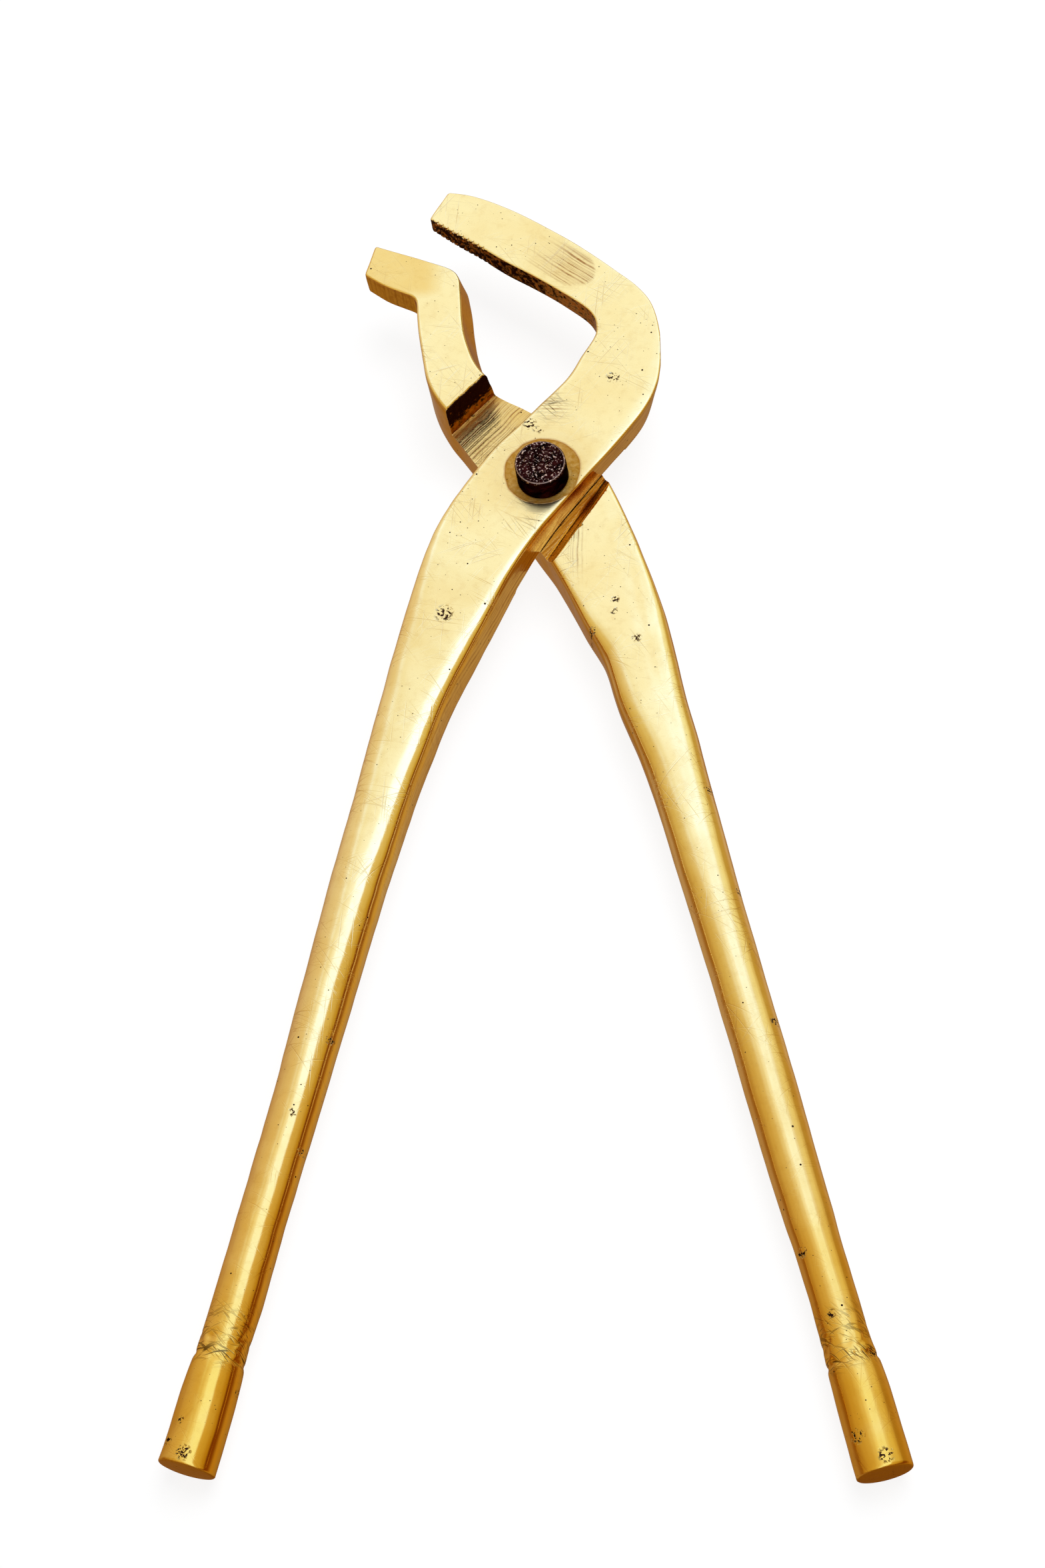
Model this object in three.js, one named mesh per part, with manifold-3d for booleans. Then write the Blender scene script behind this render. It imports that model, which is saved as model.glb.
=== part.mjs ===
// Hook-jawed brass wick tongs: two one-piece cast levers crossing at a lap
// joint, held by one iron rivet. Units are millimetres, +Z is up.
// The rivet axis is +Z through the origin, +Y points to the jaws and z = 0 is
// the table: the tool lies on its rivet tail and on both handle ends.
import * as THREE from "three";
import { mergeVertices } from "three/addons/utils/BufferGeometryUtils.js";
import Module from "manifold-3d";

// --- driving dimensions -----------------------------------------------------
const FACE_Z = 22.6; // front face of the front lever and of the rear jaw
const LAP_TOP = 12.3; // rear lever, floor of its lap
const LAP_GAP = 0.25; // running gap between the two laps
const BACK_Z = 2.2; // back face of the rear lever at the lap
const RIVET_SHANK_R = 4.5;
const BORE_R = 4.8;
const RIVET_HEAD_R = 5.8;
const RIVET_HEAD_RISE = 6.0; // head standing proud of the front lever
const RIVET_TAIL_R = 6.1;
const RIVET_GAP = 0.2; // under the head and above the tail
const RIVET_EDGE = 0.5;
const SHOULDER_NORMAL_DEG = -49; // jaw-side wall of the lap recess
const SHOULDER_DISTANCE = -30.05; // signed distance of that wall from the rivet
const RAMP_NORMAL_DEG = -33; // handle-side ramp of the lap recess
const RAMP_FOOT = 8.0;
const RAMP_RUN = 3.2;
const RAMP_RISE = 4.2;
const FRONT_STEP_NORMAL_DEG = 47; // edge of the shallow lap on the front lever's back
const FRONT_STEP_DISTANCE = 21.6;
const TOOTH_COUNT = 9; // cross grooves on the hook's gripping face
const TOOTH_PITCH = 1.9;
const TOOTH_DEPTH = 0.45;

const RING = 32; // points round a section
const STEPS = 3; // rings between two stations
const ROUND = 48; // sides of the bore and the rivet
const CUTTER = 400; // size of a cutting solid, well past the tool on every side
const TIP_SHRINK = 0.92; // eased edge of the end faces, as a share of the section
const TIP_EASE = 0.4; // and how far back along the lever it starts
const BUTT_SHRINK = 0.93; // the domed handle ends
const BUTT_RISE = 0.5;
const FIRST_TOOTH = 2.0; // distance of the first groove from the hook's tip
const TOOTH_LENGTH = 30; // grooves run right across the gripping face
const FRONT_LAP_START = -22; // where the front lever's shallow lap begins

// --- sections ----------------------------------------------------------------
// A flat station is [ax, ay, bx, by, zTop, zBottom, power, aTop, aBottom]:
// the right edge a, the left edge b, heights, the roundness power of the
// section, and how far the right edge stands in at the top and at the bottom.
const FRONT_JAW = [
  [-22.6, 81.1, -27.0, 73.5, 22.6, 18.0, 7, 0, 0],
  [-16.6, 79.5, -21.9, 69.6, 22.6, 17.3, 8, 0, 0],
  [-8.5, 75.3, -15.2, 64.6, 22.6, 16.9, 8, 0, 0.2],
  [-2.0, 71.0, -8.9, 59.7, 22.6, 16.7, 8, 0, 0.3],
  [4.3, 66.3, -2.5, 55.2, 22.6, 16.6, 8, 0, 0.5],
  [10.7, 61.1, 3.7, 50.4, 22.6, 16.5, 8, 0, 0.8],
  [16.9, 55.5, 9.0, 46.0, 22.6, 16.2, 8, 0, 1.2],
  [21.7, 50.8, 11.3, 43.2, 22.6, 15.6, 8, 0, 1.6],
  [25.1, 45.6, 12.1, 40.5, 22.6, 14.6, 8, 0, 2.0],
  [26.8, 38.7, 11.7, 37.4, 22.6, 13.2, 8, 0, 2.3],
  [27.2, 31.1, 8.8, 32.4, 22.6, 12.1, 8, 0, 2.6],
  [26.2, 23.3, 5.9, 27.1, 22.6, 11.3, 8, 0, 2.6],
  [23.0, 16.2, 1.4, 22.0, 22.6, 11.0, 8, 0, 2.6],
  [16.0, 6.9, -5.2, 15.2, 22.6, 11.0, 8, 0, 2.8],
  [10.0, -0.2, -11.3, 9.0, 22.6, 11.0, 8, 0, 2.3],
  [4.0, -7.6, -16.4, 1.9, 22.6, 11.0, 8, 0, 1.8],
  [-1.9, -15.2, -21.2, -5.6, 22.6, 11.0, 8, 0, 0.9],
  [-7.4, -24.2, -25.8, -14.6, 22.4, 10.6, 6, 0, 0.3],
  [-13.9, -37.4, -30.8, -29.7, 21.2, 9.0, 4.6, 0.2, 0.2],
];
const REAR_JAW = [
  [-39.7, 66.9, -42.1, 58.7, 22.6, 16.0, 7, 0, 0],
  [-34.2, 64.7, -37.6, 55.4, 22.6, 15.8, 8, 0.1, 0],
  [-27.4, 62.0, -33.8, 53.3, 22.6, 15.6, 8, 0.3, 0],
  [-21.3, 59.5, -30.9, 51.8, 22.6, 15.2, 8, 0.8, 0],
  [-18.9, 57.1, -29.9, 50.5, 22.6, 14.6, 8, 1.2, 0],
  [-18.0, 53.6, -29.6, 48.8, 22.6, 14.0, 8, 1.6, 0],
  [-17.4, 49.7, -29.5, 46.4, 22.6, 13.3, 8, 1.9, 0],
  [-17.0, 45.0, -29.2, 42.6, 22.6, 12.3, 8, 2.0, 0],
  [-16.4, 40.8, -28.6, 38.2, 22.6, 11.1, 8, 2.0, 0],
  [-15.3, 36.8, -27.9, 33.4, 22.6, 9.5, 8, 2.0, 0],
  [-14.0, 33.3, -27.2, 29.2, 22.6, 7.5, 8, 2.0, 0],
  [-11.8, 30.5, -25.8, 25.1, 22.6, 5.2, 8, 2.4, 0],
  [-8.5, 28.5, -23.6, 21.2, 22.6, 3.2, 8, 3.2, 0],
  [-4.4, 26.0, -20.7, 17.2, 22.6, 2.3, 8, 3.0, 0],
  [-0.1, 22.4, -17.3, 12.0, 22.0, 2.2, 8, 2.0, 0],
  [5.6, 16.8, -12.2, 4.4, 20.0, 2.2, 8, 1.0, 0],
  [10.1, 10.9, -7.7, -3.1, 17.8, 2.2, 8, 0.6, 0],
  [13.7, 4.1, -3.4, -10.6, 16.4, 2.2, 8, 0.4, 0],
  [17.6, -5.0, 0.9, -17.8, 16.0, 2.2, 7, 0.3, 0],
  [21.1, -14.7, 4.5, -25.2, 15.9, 2.3, 6, 0.2, 0],
  [24.1, -24.2, 7.9, -32.8, 15.8, 2.6, 5, 0, 0],
  [26.9, -34.2, 12.0, -41.5, 15.7, 3.0, 4, 0, 0],
];
// A round station is [x, y, width, thickness, zCentre, power].
const FRONT_HANDLE = [
  [-28.3, -48.9, 15.2, 12.5, 13.4, 3.3],
  [-32, -60.6, 14, 12.2, 12.5, 2.7],
  [-35.4, -72.2, 13, 12, 11.7, 2.4],
  [-38.6, -83.8, 12.5, 11.8, 11.1, 2.2],
  [-41.7, -95, 12.2, 11.7, 10.6, 2.1],
  [-47.3, -117.7, 11.7, 11.5, 9.7, 2],
  [-52.7, -139.7, 10.7, 10.7, 8.9, 2],
  [-58.3, -161.2, 10.4, 10.4, 8.1, 2],
  [-63.7, -182.1, 10.4, 10.4, 7.3, 2],
  [-66.5, -192.3, 10.2, 10.2, 6.9, 2],
  [-67.5, -196, 10.8, 10.8, 6.7, 2],
  [-69.2, -202.2, 11.7, 11.7, 6.3, 2],
  [-71.8, -212.4, 11.9, 11.9, 6, 2],
  [-73.2, -217.4, 12, 12, 6, 2],
];
const REAR_HANDLE = [
  [22.7, -51.9, 15, 12.4, 9.5, 3.3],
  [26.3, -63.8, 13.5, 12.2, 9.1, 2.7],
  [29.4, -76, 12.5, 12, 8.8, 2.4],
  [32.4, -88, 12.1, 11.8, 8.5, 2.2],
  [35.2, -99.7, 11.6, 11.6, 8.3, 2.1],
  [40.8, -122.4, 11.1, 11.1, 7.8, 2],
  [46.1, -144.4, 11, 11, 7.3, 2],
  [51.3, -165.7, 10.4, 10.4, 6.9, 2],
  [54, -176.1, 9.8, 9.8, 6.8, 2],
  [56.6, -186.4, 9.7, 9.7, 6.6, 2],
  [58.9, -196.4, 10, 10, 6.4, 2],
  [59.9, -200.2, 10.6, 10.6, 6.2, 2],
  [61.5, -206.4, 11.3, 11.3, 5.9, 2],
  [63.8, -216.2, 11.5, 11.5, 5.8, 2],
  [65.1, -221.7, 11.6, 11.6, 5.8, 2],
];

// The finishes: polished brass and burnt iron.
const BRASS = { color: 0xd9b25f, roughness: 0.22, metalness: 1.0 };
const IRON = { color: 0x2b1812, roughness: 0.6, metalness: 0.8 };

// Give every station the same nine numbers: a round one gets edges square to
// the line through its neighbours.
function handleStations(rows, before) {
  return rows.map(([x, y, width, thickness, z, power], i) => {
    const prev = i > 0 ? rows[i - 1] : before;
    const next = i < rows.length - 1 ? rows[i + 1] : rows[i];
    const run = new THREE.Vector2(next[0] - prev[0], next[1] - prev[1]).normalize();
    const half = width / 2;
    return [
      x - run.y * half, y + run.x * half, x + run.y * half, y - run.x * half,
      z + thickness / 2, z - thickness / 2, power, 0, 0,
    ];
  });
}

function midpoint(station) {
  return [(station[0] + station[2]) / 2, (station[1] + station[3]) / 2];
}

// Smooth curve through four numbers, at t between the middle two.
function catmull(p0, p1, p2, p3, t) {
  const slope1 = (p2 - p0) / 2;
  const slope2 = (p3 - p1) / 2;
  const a = 2 * p1 - 2 * p2 + slope1 + slope2;
  const b = -3 * p1 + 3 * p2 - 2 * slope1 - slope2;
  return ((a * t + b) * t + slope1) * t + p1;
}

function densify(stations) {
  const out = [];
  for (let i = 0; i < stations.length - 1; i += 1) {
    const s0 = stations[Math.max(i - 1, 0)];
    const s3 = stations[Math.min(i + 2, stations.length - 1)];
    for (let k = 0; k < STEPS; k += 1) {
      const blend = (v, j) => catmull(s0[j], v, stations[i + 1][j], s3[j], k / STEPS);
      out.push(stations[i].map(blend));
    }
  }
  out.push(stations[stations.length - 1]);
  return out;
}

// One closed ring: a rounded box between the edges a and b.
function ring(station, shrink = 1, push = [0, 0]) {
  const [ax, ay, bx, by, top, bottom, power, aTop, aBottom] = station;
  const across = new THREE.Vector2(ax - bx, ay - by);
  const width = across.length();
  across.normalize();
  const points = [];
  for (let i = 0; i < RING; i += 1) {
    const angle = ((i + 0.5) / RING) * 2 * Math.PI;
    const c = Math.cos(angle);
    const s = Math.sin(angle);
    const u = Math.sign(c) * Math.abs(c) ** (2 / power);
    const v = Math.sign(s) * Math.abs(s) ** (2 / power);
    const up = (v + 1) / 2;
    const inset = aTop * up + aBottom * (1 - up);
    const along = (width - inset) * (0.5 + (u * shrink) / 2);
    points.push([
      bx + across.x * along + push[0],
      by + across.y * along + push[1],
      (top + bottom) / 2 + ((top - bottom) / 2) * v * shrink,
    ]);
  }
  return points;
}

// A closed body through the rings, with a fan over each end.
function skin(rings) {
  const positions = rings.flat(2);
  const index = [];
  const count = rings.length;
  for (let r = 0; r < count - 1; r += 1) {
    for (let i = 0; i < RING; i += 1) {
      const j = (i + 1) % RING;
      const a = r * RING + i;
      const b = r * RING + j;
      index.push(a, b, a + RING, b, b + RING, a + RING);
    }
  }
  const first = positions.length / 3;
  for (const r of [rings[0], rings[count - 1]]) {
    const centre = [0, 1, 2].map((k) => r.reduce((sum, p) => sum + p[k], 0) / RING);
    positions.push(...centre);
  }
  const base = (count - 1) * RING;
  for (let i = 0; i < RING; i += 1) {
    const j = (i + 1) % RING;
    index.push(first, j, i);
    index.push(first + 1, base + i, base + j);
  }
  const geometry = new THREE.BufferGeometry();
  geometry.setAttribute("position", new THREE.Float32BufferAttribute(positions, 3));
  geometry.setIndex(index);
  return geometry;
}

// A step of the given length from one station's middle towards another's.
function step(from, to, length) {
  const [x0, y0] = midpoint(from);
  const [x1, y1] = midpoint(to);
  return new THREE.Vector2(x1 - x0, y1 - y0).setLength(length).toArray();
}

// A lever: flat stations, then round ones, with eased edges at both ends.
function lever(flat, round) {
  const stations = [...flat, ...handleStations(round, midpoint(flat[flat.length - 1]))];
  const rings = densify(stations);
  const first = rings[0];
  const last = rings[rings.length - 1];
  const inward = step(first, rings[1], TIP_EASE);
  const outward = step(rings[rings.length - 2], last, BUTT_RISE);
  return skin([
    ring(first, TIP_SHRINK),
    ring(first, 1, inward),
    ...rings.slice(1, -1).map((s) => ring(s)),
    ring(last),
    ring(last, BUTT_SHRINK, outward),
  ]);
}

const wasm = await Module();
wasm.setup();
const { Manifold, Mesh } = wasm;

function toSolid(geometry) {
  const bare = geometry.clone();
  bare.deleteAttribute("normal");
  bare.deleteAttribute("uv");
  const welded = mergeVertices(bare, 1e-4);
  return new Manifold(new Mesh({
    numProp: 3,
    vertProperties: new Float32Array(welded.attributes.position.array),
    triVerts: new Uint32Array(welded.index.array),
  }));
}

function toGeometry(solid) {
  const mesh = solid.getMesh();
  const geometry = new THREE.BufferGeometry();
  const positions = new Float32Array(mesh.numVert * 3);
  for (let i = 0; i < mesh.numVert; i += 1) {
    for (let k = 0; k < 3; k += 1) {
      positions[i * 3 + k] = mesh.vertProperties[i * mesh.numProp + k];
    }
  }
  geometry.setAttribute("position", new THREE.BufferAttribute(positions, 3));
  geometry.setIndex(new THREE.BufferAttribute(new Uint32Array(mesh.triVerts), 1));
  return geometry;
}

// A prism whose outline lies in the plane of a horizontal direction and +Z.
function wall(outline, normalDeg) {
  const shape = new THREE.Shape(outline.map(([x, y]) => new THREE.Vector2(x, y)));
  const prism = new THREE.ExtrudeGeometry(shape, { depth: CUTTER, bevelEnabled: false })
    .translate(0, 0, -CUTTER / 2)
    .rotateX(Math.PI / 2)
    .rotateZ(THREE.MathUtils.degToRad(normalDeg));
  return toSolid(prism);
}

function bore() {
  return toSolid(new THREE.CylinderGeometry(BORE_R, BORE_R, CUTTER, ROUND).rotateX(Math.PI / 2));
}

// The recess in the rear lever: upright shoulder, flat floor, hollow ramp.
function lapRecess() {
  const profile = [
    [-CUTTER, LAP_TOP],
    [RAMP_FOOT, LAP_TOP],
    [RAMP_FOOT + RAMP_RUN * 0.5, LAP_TOP + RAMP_RISE * 0.2],
    [RAMP_FOOT + RAMP_RUN * 0.8, LAP_TOP + RAMP_RISE * 0.55],
    [RAMP_FOOT + RAMP_RUN, LAP_TOP + RAMP_RISE],
    [RAMP_FOOT + RAMP_RUN, CUTTER],
    [-CUTTER, CUTTER],
  ];
  const beyond = [
    [SHOULDER_DISTANCE, -CUTTER],
    [CUTTER, -CUTTER],
    [CUTTER, CUTTER],
    [SHOULDER_DISTANCE, CUTTER],
  ];
  return wall(profile, RAMP_NORMAL_DEG).intersect(wall(beyond, SHOULDER_NORMAL_DEG));
}

function rearLever() {
  return toSolid(lever(REAR_JAW, REAR_HANDLE)).subtract(lapRecess()).subtract(bore());
}

// The front lever runs over the rear lap, so its back is cut flat there.
function frontLap() {
  const floor = LAP_TOP + LAP_GAP;
  const outline = [
    [FRONT_LAP_START, -CUTTER],
    [FRONT_STEP_DISTANCE, -CUTTER],
    [FRONT_STEP_DISTANCE, floor],
    [FRONT_LAP_START, floor],
  ];
  return wall(outline, FRONT_STEP_NORMAL_DEG);
}

// Vee grooves, square to the hook's gripping edge: square bars set on their corners.
function teeth() {
  const tip = FRONT_JAW[0];
  const far = FRONT_JAW[3];
  const run = new THREE.Vector2(far[2] - tip[2], far[3] - tip[3]).normalize();
  const side = TOOTH_DEPTH * Math.SQRT2;
  const grooves = [];
  for (let i = 0; i < TOOTH_COUNT; i += 1) {
    const along = FIRST_TOOTH + i * TOOTH_PITCH;
    const bar = new THREE.BoxGeometry(side, side, TOOTH_LENGTH)
      .rotateZ(run.angle() + Math.PI / 4)
      .translate(tip[2] + run.x * along, tip[3] + run.y * along, FACE_Z);
    grooves.push(toSolid(bar));
  }
  return Manifold.union(grooves);
}

function frontLever() {
  return toSolid(lever(FRONT_JAW, FRONT_HANDLE)).subtract(frontLap()).subtract(bore()).subtract(teeth());
}

function pivotRivet() {
  const head = FACE_Z + RIVET_GAP;
  const top = FACE_Z + RIVET_HEAD_RISE;
  const tail = BACK_Z - RIVET_GAP;
  return new THREE.LatheGeometry([
    new THREE.Vector2(0, 0),
    new THREE.Vector2(RIVET_TAIL_R - RIVET_EDGE, 0),
    new THREE.Vector2(RIVET_TAIL_R, RIVET_EDGE),
    new THREE.Vector2(RIVET_TAIL_R, tail),
    new THREE.Vector2(RIVET_SHANK_R, tail),
    new THREE.Vector2(RIVET_SHANK_R, head),
    new THREE.Vector2(RIVET_HEAD_R, head),
    new THREE.Vector2(RIVET_HEAD_R, top - RIVET_EDGE),
    new THREE.Vector2(RIVET_HEAD_R - RIVET_EDGE, top),
    new THREE.Vector2(0, top),
  ], ROUND).rotateX(Math.PI / 2);
}

function piece(name, geometry, finish) {
  const mesh = new THREE.Mesh(geometry, new THREE.MeshStandardMaterial(finish));
  mesh.name = name;
  return mesh;
}

const tongs = new THREE.Group();
tongs.name = "wick_trimmer_tongs";
tongs.add(piece("rear_lever", toGeometry(rearLever()), BRASS));
tongs.add(piece("front_lever", toGeometry(frontLever()), BRASS));
tongs.add(piece("pivot_rivet", pivotRivet(), IRON));

export default tongs;
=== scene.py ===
"""Hook-jawed brass wick tongs: two cast levers, lapped and held by one iron rivet.

Sizes inside the classes are millimetres and become metres when a mesh is made.
The rivet's axis is +Z through the origin, +Y points to the jaws and z = 0 is the table.
"""

import logging
import math
from dataclasses import dataclass
from enum import Enum
from typing import Sequence

import bpy
import numpy as np
from mathutils import Euler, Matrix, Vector
from numpy.typing import NDArray


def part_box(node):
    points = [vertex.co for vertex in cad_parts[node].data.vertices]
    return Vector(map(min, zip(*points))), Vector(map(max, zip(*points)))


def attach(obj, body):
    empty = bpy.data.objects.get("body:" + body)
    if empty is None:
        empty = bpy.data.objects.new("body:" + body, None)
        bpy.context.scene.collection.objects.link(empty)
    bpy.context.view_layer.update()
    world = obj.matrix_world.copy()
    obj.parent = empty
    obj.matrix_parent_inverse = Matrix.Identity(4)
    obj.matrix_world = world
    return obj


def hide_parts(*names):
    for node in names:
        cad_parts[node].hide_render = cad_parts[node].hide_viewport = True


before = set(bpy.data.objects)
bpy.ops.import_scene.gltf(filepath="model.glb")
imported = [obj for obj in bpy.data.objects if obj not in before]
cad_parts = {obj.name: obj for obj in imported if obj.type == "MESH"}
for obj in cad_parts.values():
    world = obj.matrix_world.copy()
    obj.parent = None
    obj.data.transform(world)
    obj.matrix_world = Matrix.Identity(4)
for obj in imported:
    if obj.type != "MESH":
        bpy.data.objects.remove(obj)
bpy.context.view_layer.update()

Array = NDArray[np.float64]
Colour = tuple[float, float, float]
MM = 0.001
log = logging.getLogger("wick_tongs")

# --- fits shared by the levers and the rivet, millimetres -------------------
FACE_Z = 22.6  # front face of the front lever
LAP_TOP = 12.3  # floor of the rear lever's lap
LAP_GAP = 0.25
BORE_RADIUS = 4.8
SEAT_CENTRE = (-0.2, 1.6)  # the dull, slightly sunken seat round the rivet
SEAT_RADIUS = 8.6
SEAT_DEPTH = 0.14


class Body(Enum):
    """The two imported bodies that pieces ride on."""

    REAR = "rear"
    FRONT = "front"


class Slot(Enum):
    """The record's material slots."""

    BRASS = "brass"
    IRON = "iron"


# --- small helpers on whole arrays -------------------------------------------
def smooth_step(value: Array, low: float, high: float) -> Array:
    """Ease from 0 at low to 1 at high: w squared times (3 - 2 w).

    Args:
        value: Numbers to ease.
        low: Where the ease starts.
        high: Where it ends, above or below low.

    Returns:
        Shares from 0 to 1.
    """
    w = np.clip((value - low) / (high - low), 0.0, 1.0)
    return w * w * (3.0 - 2.0 * w)


def bump_at(value: Array, centre: float, half_width: float) -> Array:
    """A bell curve, exp of minus the squared distance in half widths."""
    return np.exp(-(((value - centre) / half_width) ** 2))


def ripple(points: Array, wavelength: float, seed: int, waves: int = 9) -> Array:
    """Smooth unevenness: a sum of sine waves that run in seeded directions.

    Args:
        points: Places, n by 3, in millimetres.
        wavelength: Mean length of a wave.
        seed: Seed of the directions and phases.
        waves: How many waves are added.

    Returns:
        One number a point, with a spread of about 1.
    """
    rng = np.random.default_rng(seed)
    direction = rng.normal(size=(waves, 3))
    direction /= np.linalg.norm(direction, axis=1, keepdims=True)
    length = wavelength * rng.uniform(0.6, 1.7, size=(waves, 1))
    phase = rng.uniform(0.0, 2.0 * math.pi, size=waves)
    angle = points @ (direction * (2.0 * math.pi / length)).T + phase
    return np.sin(angle).sum(axis=1) * math.sqrt(2.0 / waves)


def catmull_rom(rows: Array, at: Array) -> Array:
    """A smooth curve through rows of numbers: the cubic whose slope at a row is
    half the difference of its two neighbours.

    Args:
        rows: Stations, n by k.
        at: Places along the stations, from 0 to n - 1.

    Returns:
        The interpolated rows, one for each place.
    """
    last = len(rows) - 1
    base = np.clip(np.floor(at).astype(int), 0, last - 1)
    t = (at - base)[:, None]
    p0 = rows[np.maximum(base - 1, 0)]
    p1 = rows[base]
    p2 = rows[base + 1]
    p3 = rows[np.minimum(base + 2, last)]
    slope1 = (p2 - p0) / 2.0
    slope2 = (p3 - p1) / 2.0
    cubic = 2.0 * p1 - 2.0 * p2 + slope1 + slope2
    square = -3.0 * p1 + 3.0 * p2 - 2.0 * slope1 - slope2
    return ((cubic * t + square) * t + slope1) * t + p1


def tube_faces(rings: int, around: int) -> list[tuple[int, ...]]:
    """Quads between rings that close round, with a fan to a pole at each end.

    The points are ring after ring, then the first pole, then the last pole.

    Args:
        rings: How many rings.
        around: Points in a ring.

    Returns:
        The faces, as tuples of point numbers.
    """
    ring, spot = np.meshgrid(np.arange(rings - 1), np.arange(around), indexing="ij")
    after = (spot + 1) % around
    corner = ring * around
    quads = np.stack(
        [corner + spot, corner + after, corner + around + after, corner + around + spot], axis=-1
    ).reshape(-1, 4)
    turn = np.arange(around)
    following = (turn + 1) % around
    base = (rings - 1) * around
    first = np.full(around, rings * around)
    start = np.stack([first, following, turn], axis=-1)
    end = np.stack([first + 1, base + turn, base + following], axis=-1)
    return [*map(tuple, quads.tolist()), *map(tuple, start.tolist()), *map(tuple, end.tolist())]


def closed_tube(name: str, grid: Array) -> bpy.types.Object:
    """A closed skin over a grid of rings, each end fanned to the ring's centre.

    Args:
        name: Name of the object.
        grid: Points, rings by around by 3, in millimetres.

    Returns:
        The new object, at the origin, in metres.
    """
    rings, around, _ = grid.shape
    poles = np.stack([grid[0].mean(axis=0), grid[-1].mean(axis=0)])
    points = np.concatenate([grid.reshape(-1, 3), poles]) * MM
    mesh = bpy.data.meshes.new(name)
    mesh.from_pydata(points.tolist(), [], tube_faces(rings, around))
    mesh.update()
    piece = bpy.data.objects.new(name, mesh)
    bpy.context.scene.collection.objects.link(piece)
    return piece


def points_of(piece: bpy.types.Object) -> Array:
    """Read the vertices of a piece.

    Args:
        piece: A mesh object.

    Returns:
        Places, n by 3, in millimetres.
    """
    flat = np.empty(len(piece.data.vertices) * 3, np.float32)
    piece.data.vertices.foreach_get("co", flat)
    return flat.reshape(-1, 3).astype(float) / MM


def normals_of(piece: bpy.types.Object) -> Array:
    """Read the vertex normals of a piece.

    Args:
        piece: A mesh object.

    Returns:
        Directions, n by 3.
    """
    flat = np.empty(len(piece.data.vertices) * 3, np.float32)
    piece.data.vertex_normals.foreach_get("vector", flat)
    return flat.reshape(-1, 3).astype(float)


def paint(piece: bpy.types.Object, name: str, values: Array) -> None:
    """Store one number a vertex under a name that materials read."""
    layer = piece.data.attributes.new(name, "FLOAT", "POINT")
    layer.data.foreach_set("value", values.astype(np.float32))


def subtract(piece: bpy.types.Object, cutter: bpy.types.Object) -> None:
    """Cut one closed piece with another and throw the cutter away.

    Args:
        piece: The piece that is cut; its mesh is replaced.
        cutter: The closed cutter, which is deleted.
    """
    modifier = piece.modifiers.new("cut", "BOOLEAN")
    modifier.operation = "DIFFERENCE"
    modifier.solver = "MANIFOLD"
    modifier.object = cutter
    view = bpy.context.evaluated_depsgraph_get()
    cut = bpy.data.meshes.new_from_object(piece.evaluated_get(view))
    piece.modifiers.clear()
    before = piece.data
    piece.data = cut
    cut.name = piece.name
    bpy.data.meshes.remove(before)
    bpy.data.objects.remove(cutter)


def smooth_shade(piece: bpy.types.Object, edge_deg: float) -> None:
    """Shade smooth, and leave sharp edges as they are.

    Args:
        piece: The piece to shade.
        edge_deg: Edges that turn more than this stay sharp.
    """
    mesh = piece.data
    mesh.polygons.foreach_set("use_smooth", np.ones(len(mesh.polygons), bool))
    mesh.polygons.foreach_set("material_index", np.zeros(len(mesh.polygons), np.int32))
    mesh.set_sharp_from_angle(angle=math.radians(edge_deg))
    mesh.update()


def keep_inside(points: Array, node: str) -> Array:
    """Hold points inside the CAD node's box, which only takes off ripples."""
    low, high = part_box(node)
    return np.clip(points, np.array(low) / MM, np.array(high) / MM)


def cylinder_grid(radius: float, low: float, high: float, around: int) -> Array:
    """Rings of a round bar along Z: radius times cosine and sine at two heights.

    Args:
        radius: Radius, millimetres.
        low: Height of the first ring.
        high: Height of the last ring.
        around: Points in a ring.

    Returns:
        Points, 2 by around by 3.
    """
    turn = np.linspace(0.0, 2.0 * math.pi, around, endpoint=False)
    circle = np.stack([np.cos(turn), np.sin(turn)], axis=-1) * radius
    heights = np.array([low, high])
    grid = np.zeros((2, around, 3))
    grid[:, :, :2] = circle
    grid[:, :, 2] = heights[:, None]
    return grid


def raise_to(masks: dict[str, Array], name: str, *values: Array) -> None:
    """Lift a mask to the highest of itself and the values."""
    masks[name] = np.maximum.reduce([masks[name], *values])


# --- node graphs ----------------------------------------------------------------
Socket = bpy.types.NodeSocket
Feed = Socket | float | Sequence[float]


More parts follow.
